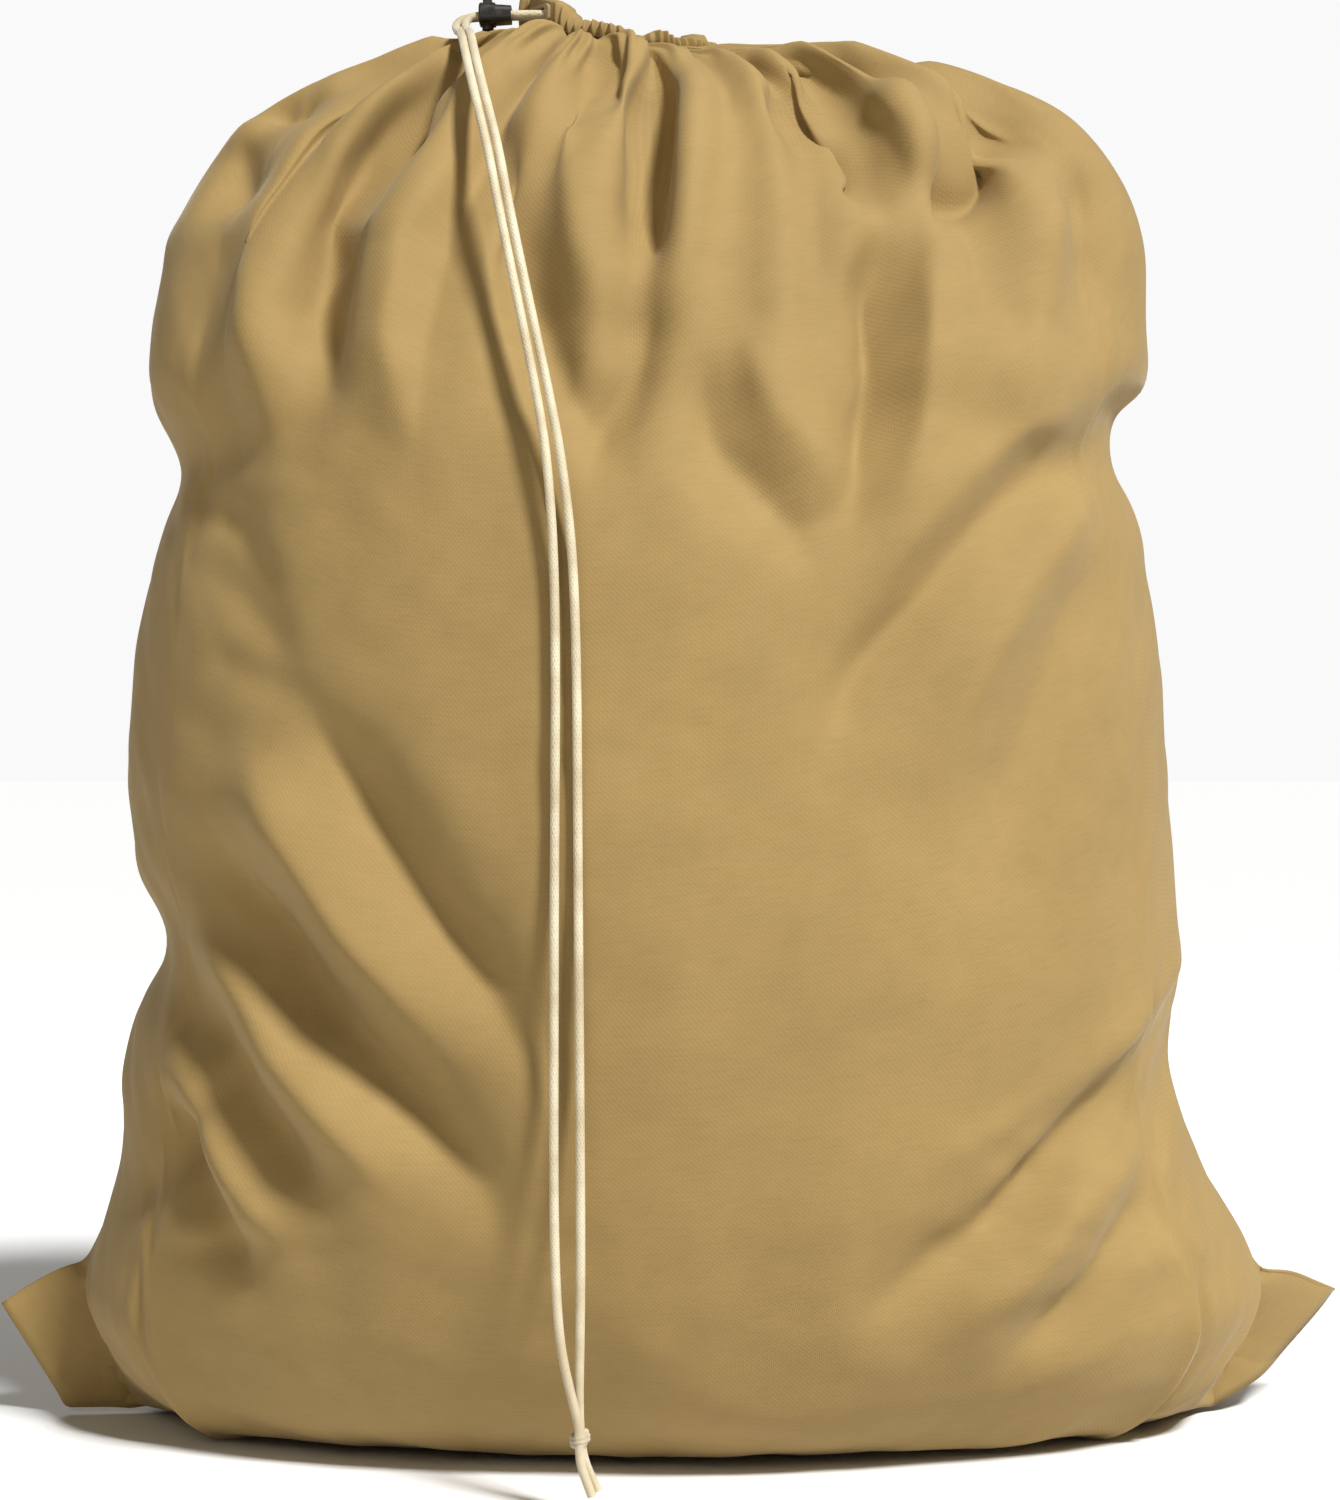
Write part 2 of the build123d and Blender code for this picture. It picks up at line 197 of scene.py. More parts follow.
# creases seen from the front: points (x, z) along each, half width, depth (below 0 for a ridge)
CREASES = (
    # left shoulder, fanning from the cord lock
    (((-0.104, 0.702), (-0.146, 0.656), (-0.170, 0.622), (-0.175, 0.575), (-0.160, 0.505)), 0.015, 0.029),
    (((-0.124, 0.704), (-0.180, 0.655), (-0.200, 0.612), (-0.202, 0.556), (-0.186, 0.480)), 0.018, -0.016),
    (((-0.218, 0.690), (-0.196, 0.684), (-0.172, 0.692)), 0.011, 0.017),
    (((-0.226, 0.676), (-0.222, 0.650), (-0.212, 0.615)), 0.014, 0.012),
    (((-0.094, 0.670), (-0.131, 0.603), (-0.136, 0.548), (-0.112, 0.470)), 0.018, -0.014),
    (((-0.084, 0.670), (-0.072, 0.587), (-0.052, 0.527), (-0.012, 0.470)), 0.016, 0.017),
    (((-0.056, 0.690), (-0.044, 0.597), (-0.024, 0.535)), 0.015, -0.010),
    # the long sharp fold in the middle, and the swags on each side of it
    (((-0.006, 0.708), (-0.010, 0.640), (-0.012, 0.565)), 0.010, 0.022),
    (((0.012, 0.705), (0.008, 0.630), (0.004, 0.560)), 0.012, -0.011),
    (((-0.010, 0.585), (-0.018, 0.530), (-0.036, 0.498), (-0.058, 0.502)), 0.013, 0.014),
    (((0.008, 0.560), (0.024, 0.496), (0.062, 0.456), (0.122, 0.486)), 0.019, 0.014),
    (((0.030, 0.560), (0.050, 0.510), (0.074, 0.488), (0.096, 0.500)), 0.016, -0.010),
    (((-0.022, 0.716), (-0.034, 0.692), (-0.030, 0.664)), 0.009, 0.012),
    # right shoulder: two pockets that meet in a swag, and the long folds below it
    (((0.056, 0.708), (0.070, 0.680), (0.088, 0.648), (0.114, 0.612)), 0.014, 0.029),
    (((0.146, 0.694), (0.160, 0.664), (0.152, 0.636), (0.124, 0.606)), 0.014, 0.029),
    (((0.104, 0.694), (0.122, 0.656), (0.122, 0.630)), 0.016, -0.014),
    (((0.110, 0.620), (0.099, 0.575), (0.100, 0.520), (0.084, 0.440)), 0.016, 0.022),
    (((0.130, 0.612), (0.124, 0.560), (0.118, 0.505), (0.096, 0.440)), 0.014, -0.013),
    (((0.190, 0.680), (0.186, 0.610), (0.172, 0.540), (0.142, 0.460)), 0.022, -0.012),
    (((0.206, 0.660), (0.212, 0.612), (0.206, 0.560)), 0.014, 0.012),
    # from the right-hand pinch towards the middle
    (((0.224, 0.516), (0.179, 0.490), (0.136, 0.448), (0.090, 0.390), (0.058, 0.320)), 0.018, 0.018),
    (((0.228, 0.536), (0.174, 0.512), (0.122, 0.462), (0.078, 0.400)), 0.017, -0.012),
    (((0.228, 0.494), (0.186, 0.458), (0.144, 0.390), (0.112, 0.310)), 0.020, -0.012),
    (((0.232, 0.470), (0.196, 0.420), (0.164, 0.340), (0.140, 0.260)), 0.018, 0.008),
    # left-hand pinch
    (((-0.245, 0.490), (-0.215, 0.462), (-0.180, 0.410)), 0.014, 0.006),
    (((-0.245, 0.452), (-0.210, 0.425), (-0.170, 0.384)), 0.012, 0.005),
    (((-0.235, 0.405), (-0.205, 0.388), (-0.162, 0.375)), 0.010, 0.004),
    # long drag folds across the lower left
    (((-0.184, 0.390), (-0.126, 0.293), (-0.079, 0.233), (-0.044, 0.190)), 0.019, 0.020),
    (((-0.214, 0.360), (-0.155, 0.269), (-0.093, 0.196)), 0.020, -0.017),
    (((-0.240, 0.325), (-0.176, 0.239), (-0.107, 0.167), (-0.060, 0.118)), 0.019, 0.026),
    (((-0.243, 0.290), (-0.187, 0.205), (-0.120, 0.132)), 0.018, -0.017),
    (((-0.250, 0.252), (-0.209, 0.188), (-0.154, 0.118)), 0.016, 0.020),
    (((-0.256, 0.222), (-0.226, 0.166), (-0.178, 0.098)), 0.015, -0.014),
    (((-0.262, 0.196), (-0.233, 0.141), (-0.198, 0.078)), 0.012, 0.016),
    # lower right
    (((0.236, 0.205), (0.155, 0.127), (0.078, 0.074)), 0.013, 0.016),
    (((0.240, 0.170), (0.175, 0.106), (0.115, 0.060)), 0.012, -0.011),
    (((0.250, 0.142), (0.197, 0.083), (0.150, 0.046)), 0.010, 0.014),
    (((0.248, 0.246), (0.190, 0.172), (0.120, 0.120)), 0.013, -0.008),
    # slight dents in the middle
    (((-0.022, 0.362), (0.004, 0.366), (0.022, 0.358)), 0.004, 0.0016),
    (((-0.037, 0.352), (-0.012, 0.350), (0.006, 0.355)), 0.004, 0.0014),
)
PINCHED_BEYOND = 0.1  # distance from the bag's middle
# where the bag's sides are drawn in: side (-1 left, 1 right), height, half height, half depth, depth
PINCHES = (
    (-1, 0.494, 0.024, 0.080, 0.007),
    (-1, 0.256, 0.024, 0.080, 0.009),
    (1, 0.519, 0.018, 0.080, 0.012),
    (1, 0.190, 0.026, 0.070, 0.004),
    (1, 0.445, 0.012, 0.050, 0.003),
)
FAN_BEND = (-14, 14)  # degrees
FAN_START = (0.0, 0.3)  # share of a fine crease's reach left smooth at its start
FAN_WIDTH = (0.0035, 0.0075)
FAN_DEPTH = (0.5, 1.2)
FAN_SIGNS = (1, 1, -1)  # two valleys to each ridge
# bundles of fine creases: face (-1 front, 1 back), start (x, z), first and last direction in
# degrees above +X, nearest and furthest end, how many, and depth
CREASE_FANS = (
    (-1, (0.300, 0.270), (213, 250), (0.14, 0.34), 15, 0.0036),
    (-1, (0.310, 0.100), (165, 205), (0.08, 0.22), 7, 0.0026),
    (-1, (-0.286, 0.100), (2, 70), (0.06, 0.17), 9, 0.0026),
    (-1, (-0.262, 0.262), (-75, -30), (0.08, 0.19), 6, 0.0016),
    (-1, (-0.262, 0.490), (-70, 20), (0.05, 0.14), 6, 0.0014),
    (-1, (0.232, 0.520), (195, 245), (0.06, 0.20), 7, 0.0020),
    (1, (0.280, 0.100), (95, 185), (0.08, 0.24), 14, 0.0030),
    (1, (-0.286, 0.100), (-5, 85), (0.08, 0.24), 14, 0.0030),
    (1, (0.235, 0.520), (120, 250), (0.06, 0.16), 9, 0.0028),
    (1, (-0.262, 0.470), (-70, 60), (0.06, 0.16), 9, 0.0028),
)

# ---------------------------------------------------------------- hem
HEM_OUTER = 0.050
HEM_INNER = 0.035
# turn from the left end of the mouth by the front, and height of the hem there
HEM_HEIGHTS = (
    (0.0, 0.0255),
    (0.4, 0.0235),
    (0.85, 0.0175),
    (1.2, 0.0080),
    (1.6, 0.0075),
    (2.0, 0.0086),
    (3.2, 0.0090),
    (3.9, 0.0100),
    (4.4, 0.0130),
    (5.0, 0.0235),
    (6.3, 0.0255),
)
HEM_PLEATS = 66
HEM_PLEAT_DEPTH = 0.0019
HEM_STEPS = 920
HEM_RIPPLES = ((0.0011, 9, 1.3), (0.0008, 16, 0.4))  # of its top edge: size, number round, phase
HEM_WAVE = 0.0024
HEM_WAVES = 10
HEM_TAPER = 0.0022  # how far each wall draws in at its foot and its top
HEM_CALM = (0.17, 0.42)  # turns beside the opening between which the pleats fade in
HEM_TURN_OVER = 1.06  # share of the hem's height where its top edge turns over
HEM_FLAT = 0.06  # cloth in the hem, unfolded
OPENING_CENTRE = np.array((-0.0689, -0.0288, 0.7325))
OPENING_HALF_WIDTH = 0.006
OPENING_HALF_HEIGHT = 0.0032
OPENING_REACH = 0.008  # along X, so that only the outer wall is cut
OPENING_TURN = 0.613  # from the left end of the ring towards the front
DIP_TURN = 2.1  # where the gathered mouth sags
DIP_WIDTH = 0.8
DIP = 0.008
STITCH_RADIUS = 0.0004
STITCHES = 84
STITCH_PROFILE = ((0.0, 0.25), (0.12, 0.8), (0.5, 1.0), (0.88, 0.8), (1.0, 0.25))  # share, width
STITCH_LEVEL = 0.13  # share of the hem's height
STITCH_FREE_TURN = 0.2  # on each side of the opening

# ---------------------------------------------------------------- drawcord
CORD_DIAMETER = 0.0044
CORD_STEPS = 12
BRAID_CELLS = 390.0  # plaited bumps along each strand
BRAID_ROWS = 8.0  # and round it
KNOT_CORD = 0.0016
KNOT_TURNS = 3
KNOT_TILT = 0.0009
KNOT_WOBBLE = 0.0007
KNOT_TAPER = 0.25  # share of its width that it loses at each end
LOOP_RADIUS = 0.042
LOOP_RISE = 0.0034  # of the loop above the gathering line
LOOP_GAPS = (0.22, 0.10)  # turn left free on each side of the opening
STRAND_LEFT = (
    (-0.0580, -0.0264, 0.7325),
    (-0.1046, -0.0264, 0.7325),
    (-0.1110, -0.0308, 0.7275),
    (-0.1096, -0.0420, 0.7210),
    (-0.1060, -0.0620, 0.7165),
    (-0.1018, -0.0880, 0.6985),
    (-0.0950, -0.1222, 0.6715),
    (-0.0875, -0.1456, 0.6420),
    (-0.0816, -0.1628, 0.6120),
    (-0.0716, -0.1790, 0.5650),
    (-0.0619, -0.1915, 0.5185),
    (-0.0570, -0.1965, 0.4885),
    (-0.0536, -0.2008, 0.4435),
    (-0.0528, -0.2046, 0.3860),
    (-0.0532, -0.2064, 0.3220),
    (-0.0535, -0.2070, 0.2580),
    (-0.0537, -0.2071, 0.1950),
    (-0.0536, -0.2073, 0.1350),
    (-0.0524, -0.2077, 0.0980),
    (-0.0502, -0.2081, 0.0750),
    (-0.0456, -0.2087, 0.0550),
    (-0.0424, -0.2089, 0.0430),
    (-0.0418, -0.2089, 0.0340),
    (-0.0415, -0.2090, 0.0245),
    (-0.0389, -0.2093, 0.0165),
    (-0.0360, -0.2095, 0.0090),
)
STRAND_RIGHT = (
    (-0.0540, -0.0312, 0.7325),
    (-0.1018, -0.0312, 0.7325),
    (-0.1058, -0.0358, 0.7273),
    (-0.1044, -0.0455, 0.7205),
    (-0.1012, -0.0635, 0.7162),
    (-0.0970, -0.0890, 0.6978),
    (-0.0900, -0.1228, 0.6713),
    (-0.0823, -0.1464, 0.6420),
    (-0.0766, -0.1634, 0.6120),
    (-0.0664, -0.1795, 0.5650),
    (-0.0561, -0.1920, 0.5185),
    (-0.0503, -0.1965, 0.4885),
    (-0.0448, -0.2010, 0.4435),
    (-0.0430, -0.2048, 0.3860),
    (-0.0426, -0.2064, 0.3220),
    (-0.0422, -0.2070, 0.2580),
    (-0.0417, -0.2070, 0.1950),
    (-0.0413, -0.2067, 0.1350),
    (-0.0414, -0.2062, 0.0980),
    (-0.0418, -0.2056, 0.0750),
    (-0.0422, -0.2049, 0.0550),
    (-0.0420, -0.2042, 0.0430),
    (-0.0414, -0.2041, 0.0335),
    (-0.0400, -0.2040, 0.0248),
    (-0.0369, -0.2038, 0.0170),
    (-0.0336, -0.2036, 0.0100),
)
FLOOR_GAP = 0.0006  # between the cloth and the floor
CORD_GAP = 0.0006  # between a strand and the cloth behind it
CORD_REACH = 0.022  # how far beside a strand the cloth gives way
ON_CLOTH = (0.06, 0.729)  # heights between which the strands lie on the cloth
LOCK_ROOM = 0.0100  # from the strands' centre line to the cloth below the cord lock
LOCK_REACH = 0.012  # how far beside the lock the cloth stays that low
LOCK_SLOPE = 1.1  # how steeply the cloth may rise beyond that
LOCK_SOFTNESS = 0.0015
NEAR_SIDE = 0.03  # cloth further than this from a strand is on the bag's other side

# ---------------------------------------------------------------- camera and light
CAMERA_PLACE = (0.0, -1.6, 0.370)
CAMERA_TARGET = (0.0, 0.0, 0.351)
CAMERA_LENS = 72.5
CAMERA_SENSOR = 36.0
SKY_STRENGTH = 0.10
BACKDROP_STRENGTH = 0.95
FLOOR_SIZE = 30.0
FLOOR_COLOUR = (0.78, 0.78, 0.77)
# name, place, target, size, power, colour
LAMPS = (
    ("front", (-1.0, -2.1, 1.5), (0.0, 0.0, 0.50), 1.0, 7.0, (1.0, 0.90, 0.70)),
    ("side", (1.8, 0.3, 1.6), (0.0, 0.0, 0.45), 0.9, 2.0, (1.0, 1.0, 1.0)),
    ("back", (-0.8, 2.2, 1.5), (0.0, 0.0, 0.45), 1.2, 16.0, (1.0, 1.0, 1.0)),
)
# the key light, high in front on the right; its wide angle, in degrees, softens the shadows
SUN_PLACE = (1.30, -1.45, 2.4)
SUN_STRENGTH = 5.1
SUN_ANGLE = 10.0

# ---------------------------------------------------------------- colours and weave
WEAVE_SCALE = 330.0
KHAKI_DARK = (0.306, 0.203, 0.071)
KHAKI_LIGHT = (0.340, 0.227, 0.081)
THREAD_DARK = (0.30, 0.20, 0.08)
THREAD_LIGHT = (0.37, 0.26, 0.12)
WASHED_DARK = (0.30, 0.33, 0.38)
WASHED_LIGHT = (0.72, 0.71, 0.68)
CORD_DARK = (0.50, 0.41, 0.26)
CORD_LIGHT = (0.66, 0.59, 0.42)

# ---------------------------------------------------------------- laundry
SHOULDER_START, SHOULDER_END = 0.42, 0.68  # heights between which the load draws in at the top
LAUNDRY_CORNERS = 96
LAUNDRY_LEVEL_STEP = 3
LAUNDRY_SLOPE_START = 0.40  # height where the heap starts to lie lower than the bag
LAUNDRY_DROP = 0.018  # of the heap's shoulders below the bag's
LAUNDRY_BASE = 0.010
LAUNDRY_CROWN = 0.012
LAUNDRY_CAPS = (0.75, 0.45, 0.15)  # sizes of the rings that close its top and its bottom
LUMP_SCALES = (17, 46)
LUMP_DEPTH = 0.006
LAUNDRY_INSET = 0.024
LAUNDRY_TOP_INSET = 0.035


def smooth_step(value, low, high):
    """0 below low, 1 above high, and a smooth ramp in between."""
    share = np.clip((value - low) / (high - low), 0.0, 1.0)
    return share * share * (3 - 2 * share)


def smoothed_sections():
    """Height, centre, half width and half depth of the stuffed bag at closely spaced levels."""
    table = np.array(SECTIONS)
    heights = np.arange(0, table[-1, 0] + 1e-9, SECTION_STEP)
    reach = int(3 * SECTION_SOFTENING / SECTION_STEP)
    steps = np.arange(-reach, reach + 1)
    weights = np.exp(-0.5 * (steps * SECTION_STEP / SECTION_SOFTENING) ** 2)
    weights /= weights.sum()
    softened = []
    for column in (1, 2, 3):
        values = np.interp(heights, table[:, 0], table[:, column])
        before = 2 * values[0] - values[reach:0:-1]
        after = 2 * values[-1] - values[-2 : -reach - 2 : -1]
        softened.append(np.convolve(np.concatenate((before, values, after)), weights, "valid"))
    left, right, half_depth = softened
    return heights, (left + right) / 2, (right - left) / 2, half_depth


def ellipse_points(half_width, half_depth, shares):
    """Points at equal shares of an ellipse's length, from its left end by the front."""
    turn = np.linspace(0, 2 * math.pi, 721)
    x, y = -half_width * np.cos(turn), -half_depth * np.sin(turn)
    along = np.concatenate(([0], np.cumsum(np.hypot(np.diff(x), np.diff(y)))))
    at = np.interp(shares * along[-1], along, turn)
    return -half_width * np.cos(at), -half_depth * np.sin(at)


def at_mouth(turn, radius, rise):
    """Points round the mouth, which leans to the right and sags on one side."""
    x, y = -radius * np.cos(turn), -radius * np.sin(turn)
    tilt_x = x * math.cos(MOUTH_LEAN) + rise * math.sin(MOUTH_LEAN)
    tilt_z = rise * math.cos(MOUTH_LEAN) - x * math.sin(MOUTH_LEAN)
    dip = DIP * np.exp(-(((turn - DIP_TURN) / DIP_WIDTH) ** 2))
    return np.stack((MOUTH_X + tilt_x, y, GATHERING_Z - dip + tilt_z), -1)


# ---------------------------------------------------------------- camera and lights
def aim(thing, place, target):
    """Put a lamp or camera at a place and turn it to a target."""
    thing.location = place
    thing.rotation_mode = "QUATERNION"
    thing.rotation_quaternion = (Vector(target) - Vector(place)).to_track_quat("-Z", "Y")


def add_object(name, data):
    """A new object in the scene."""
    made = bpy.data.objects.new(name, data)
    bpy.context.scene.collection.objects.link(made)
    return made


def area_light(name, place, target, size, power, colour):
    """A soft square lamp."""
    lamp = bpy.data.lights.new(name, "AREA")
    lamp.shape = "SQUARE"
    lamp.size = size
    lamp.energy = power
    lamp.color = colour
    aim(add_object(name, lamp), place, target)


def flat_square(size, height):
    """Corners and the one face of a level square round the origin."""
    half = size / 2
    corners = [(-half, -half), (half, -half), (half, half), (-half, half)]
    return [(x, y, height) for x, y in corners], [(0, 1, 2, 3)]


def build_stage():
    """Camera, lamps, even sky and a pale floor."""
    lens = bpy.data.cameras.new("camera")
    lens.lens = CAMERA_LENS
    lens.sensor_width = CAMERA_SENSOR
    camera = add_object("camera", lens)
    aim(camera, CAMERA_PLACE, CAMERA_TARGET)
    bpy.context.scene.camera = camera
    for lamp in LAMPS:
        area_light(*lamp)
    sun = bpy.data.lights.new("sun", "SUN")
    sun.energy = SUN_STRENGTH
    sun.angle = math.radians(SUN_ANGLE)
    aim(add_object("sun", sun), SUN_PLACE, (0.0, 0.0, 0.0))
    world = bpy.data.worlds.new("studio")
    world.use_nodes = True
    tree = world.node_tree
    background = tree.nodes["Background"]
    background.inputs["Color"].default_value = (1.0, 1.0, 1.0, 1.0)
    rays = tree.nodes.new("ShaderNodeLightPath")
    backdrop = add_node(tree, "ShaderNodeMapRange")
    backdrop.inputs["To Min"].default_value = SKY_STRENGTH
    backdrop.inputs["To Max"].default_value = BACKDROP_STRENGTH
    tree.links.new(rays.outputs["Is Camera Ray"], backdrop.inputs["Value"])
    tree.links.new(backdrop.outputs["Result"], background.inputs["Strength"])
    bpy.context.scene.world = world
    bpy.context.scene.view_settings.view_transform = "Standard"
    corners, faces = flat_square(FLOOR_SIZE, -FLOOR_GAP)
    mesh = bpy.data.meshes.new("floor")
    mesh.from_pydata(corners, [], faces)
    floor = add_object("floor", mesh)
    paint(floor, plain_material("pale_floor", FLOOR_COLOUR, 0.8))


# ---------------------------------------------------------------- materials
def new_material(name, roughness):
    """A node material, its node tree and its shader."""
    material = bpy.data.materials.new(name)
    material.use_nodes = True
    shader = material.node_tree.nodes["Principled BSDF"]
    shader.inputs["Roughness"].default_value = roughness
    return material, material.node_tree, shader


def plain_material(name, colour, roughness):
    """The floor's even finish."""
    material, _, shader = new_material(name, roughness)
    shader.inputs["Base Color"].default_value = (*colour, 1.0)
    return material


def paint(thing, material):
    """Give an object one material over all of it."""
    slots = thing.data.materials
    if len(slots) == 0:
        slots.append(material)
    for index in range(len(slots)):
        slots[index] = material


def add_node(tree, kind, **inputs):
    """A shader node with some of its inputs set."""
    node = tree.nodes.new(kind)
    for name, value in inputs.items():
        node.inputs[name.replace("_", " ")].default_value = value
    return node


def colour_ramp(tree, factor, dark, light, low=0.3, high=0.7):
    """Two colours blended by a factor between low and high."""
    ramp = tree.nodes.new("ShaderNodeValToRGB")
    ramp.color_ramp.elements[0].position = low
    ramp.color_ramp.elements[0].color = (*dark, 1.0)
    ramp.color_ramp.elements[1].position = high
    ramp.color_ramp.elements[1].color = (*light, 1.0)
    tree.links.new(factor, ramp.inputs["Fac"])
    return ramp.outputs["Color"]


def multiply_colours(tree, first, second, share):
    """The second colour laid over the first by multiplying."""
    mix = tree.nodes.new("ShaderNodeMix")
    mix.data_type = "RGBA"
    mix.blend_type = "MULTIPLY"
    mix.inputs[0].default_value = share
    tree.links.new(first, mix.inputs[6])
    tree.links.new(second, mix.inputs[7])
    return mix.outputs[2]


def scaled_place(tree, output, scale):
    """Texture coordinates, scaled."""
    place = tree.nodes.new("ShaderNodeTexCoord")
    mapping = tree.nodes.new("ShaderNodeMapping")
    mapping.inputs["Scale"].default_value = scale
    tree.links.new(place.outputs[output], mapping.inputs["Vector"])
    return mapping.outputs["Vector"]


def noise_at(tree, place, scale, detail=3.0, distortion=0.0):
    """A noise texture's value."""
    texture = add_node(tree, "ShaderNodeTexNoise", Scale=scale, Detail=detail, Distortion=distortion)
    tree.links.new(place, texture.inputs["Vector"])
    return texture.outputs["Fac"]


def threads_at(tree, place, scale, direction):
    """Rows of round threads."""
    wave = add_node(tree, "ShaderNodeTexWave", Scale=scale, Distortion=0.6, Detail=1.0)
    wave.bands_direction = direction
    wave.inputs["Detail Scale"].default_value = 1.5
    tree.links.new(place, wave.inputs["Vector"])
    return wave.outputs["Fac"]


def bump_chain(tree, shader, layers):
    """Several bumps, one over the other. Each layer is a height, a strength and a distance."""
    normal = None
    for height, strength, distance in layers:
        bump = add_node(tree, "ShaderNodeBump", Strength=strength, Distance=distance)
        tree.links.new(height, bump.inputs["Height"])
        if normal is not None:
            tree.links.new(normal, bump.inputs["Normal"])
        normal = bump.outputs["Normal"]
    tree.links.new(normal, shader.inputs["Normal"])


def combine(tree, operation, first, second):
    """Two values joined by a sum, product or the like."""
    node = tree.nodes.new("ShaderNodeMath")
    node.operation = operation
    for socket, value in zip(node.inputs, (first, second)):
        if isinstance(value, float):
            socket.default_value = value
        else:
            tree.links.new(value, socket)
    return node.outputs["Value"]


def canvas_material(name, dark, light):
    """Khaki twill: fine weave along the cloth's own threads, slubs, soft mottling and sheen."""
    material, tree, shader = new_material(name, 0.78)
    shader.inputs["Sheen Weight"].default_value = 0.12
    shader.inputs["Sheen Roughness"].default_value = 0.45
    shader.inputs["Sheen Tint"].default_value = (1.0, 0.93, 0.78, 1.0)
    shader.inputs["Specular IOR Level"].default_value = 0.28
    cloth = scaled_place(tree, "UV", (1.0, 1.0, 1.0))
    slub_place = scaled_place(tree, "UV", (60.0, 900.0, 1.0))
    broad = noise_at(tree, cloth, 9.0, detail=4.0, distortion=0.4)
    mottled = noise_at(tree, cloth, 70.0, detail=5.0)
    slubs = noise_at(tree, slub_place, 1.0, detail=2.0)
    warp = threads_at(tree, cloth, WEAVE_SCALE, "X")
    weft = threads_at(tree, cloth, WEAVE_SCALE * 0.8, "DIAGONAL")
    weave = combine(tree, "MULTIPLY", warp, weft)
    base = colour_ramp(tree, broad, dark, light)
    fine = colour_ramp(tree, mottled, (0.95, 0.95, 0.94), (1.0, 1.0, 1.0), 0.35, 0.65)
    shaded = multiply_colours(tree, base, fine, 0.7)
    thread_shade = colour_ramp(tree, weave, (0.80, 0.79, 0.76), (1.0, 1.0, 1.0), 0.0, 0.5)
    woven = multiply_colours(tree, shaded, thread_shade, 0.35)
    slub_shade = colour_ramp(tree, slubs, (0.88, 0.88, 0.86), (1.0, 1.0, 1.0), 0.30, 0.55)
    tree.links.new(multiply_colours(tree, woven, slub_shade, 0.5), shader.inputs["Base Color"])
    bump_chain(tree, shader, [(slubs, 0.12, 0.0004), (weave, 0.30, 0.0002)])
    return material


def cord_material(name):
    """Off-white braid: plaited bumps in rows along the cord, with painted shade darkening the gaps between
    them.
    """
    material, tree, shader = new_material(name, 0.62)
    shader.inputs["Sheen Weight"].default_value = 0.3
    shader.inputs["Sheen Roughness"].default_value = 0.4
    place = scaled_place(tree, "UV", (BRAID_CELLS, BRAID_ROWS, 1.0))
    turned = tree.nodes.new("ShaderNodeMapping")
    turned.inputs["Rotation"].default_value = (0.0, 0.0, math.radians(45))
    tree.links.new(place, turned.inputs["Vector"])
    cells = add_node(tree, "ShaderNodeTexVoronoi", Scale=1.414, Randomness=0.12)
    cells.feature = "F1"
    tree.links.new(turned.outputs["Vector"], cells.inputs["Vector"])
    dome = combine(tree, "SUBTRACT", 1.0, cells.outputs["Distance"])
    fibres = noise_at(tree, scaled_place(tree, "UV", (BRAID_CELLS * 4, BRAID_ROWS * 3, 1.0)), 1.0)
    soiled = noise_at(tree, scaled_place(tree, "Object", (1.0, 1.0, 1.0)), 45.0)
    body = colour_ramp(tree, soiled, CORD_DARK, CORD_LIGHT, 0.35, 0.65)
    # painted shade: the colour is darkened in the gaps between the plaited bumps
    painted_gap_shade = colour_ramp(tree, dome, (0.58, 0.53, 0.42), (1.0, 1.0, 1.0), 0.30, 0.52)
    tree.links.new(multiply_colours(tree, body, painted_gap_shade, 0.8), shader.inputs["Base Color"])
    bump_chain(tree, shader, [(dome, 0.7, 0.0004), (fibres, 0.25, 0.00012)])
    return material


def fibre_material(name, dark, light, scale):
    """Twisted thread or knitted cloth, placed by the object's own coordinates."""
    material, tree, shader = new_material(name, 0.75)
    shader.inputs["Sheen Weight"].default_value = 0.25
    place = scaled_place(tree, "Object", (1.0, 1.0, 1.0))
    twist = threads_at(tree, place, scale, "DIAGONAL")
    patches = noise_at(tree, place, scale * 0.06, detail=4.0)
    base = colour_ramp(tree, patches, dark, light)
    ridges = colour_ramp(tree, twist, (0.72, 0.71, 0.68), (1.0, 1.0, 1.0), 0.0, 0.6)
    tree.links.new(multiply_colours(tree, base, ridges, 0.6), shader.inputs["Base Color"])
    bump_chain(tree, shader, [(twist, 0.4, 0.0003)])
    return material


def plastic_material(name):
    """Moulded black-brown plastic: fine spark-eroded grain, faint scuffs and a soft gloss."""
    material, tree, shader = new_material(name, 0.42)
    shader.inputs["Specular IOR Level"].default_value = 0.5
    place = scaled_place(tree, "Object", (1.0, 1.0, 1.0))
    grain = noise_at(tree, place, 2600.0, detail=2.0)
    scuffs = noise_at(tree, scaled_place(tree, "Object", (220.0, 900.0, 500.0)), 1.0, detail=5.0)
    base = colour_ramp(tree, scuffs, (0.012, 0.010, 0.008), (0.032, 0.028, 0.020), 0.40, 0.72)
    tree.links.new(base, shader.inputs["Base Color"])
    spread = combine(tree, "MULTIPLY", scuffs, 0.35)
    tree.links.new(combine(tree, "ADD", spread, 0.25), shader.inputs["Roughness"])
    bump_chain(tree, shader, [(grain, 0.25, 0.00008), (scuffs, 0.1, 0.0001)])
    return material


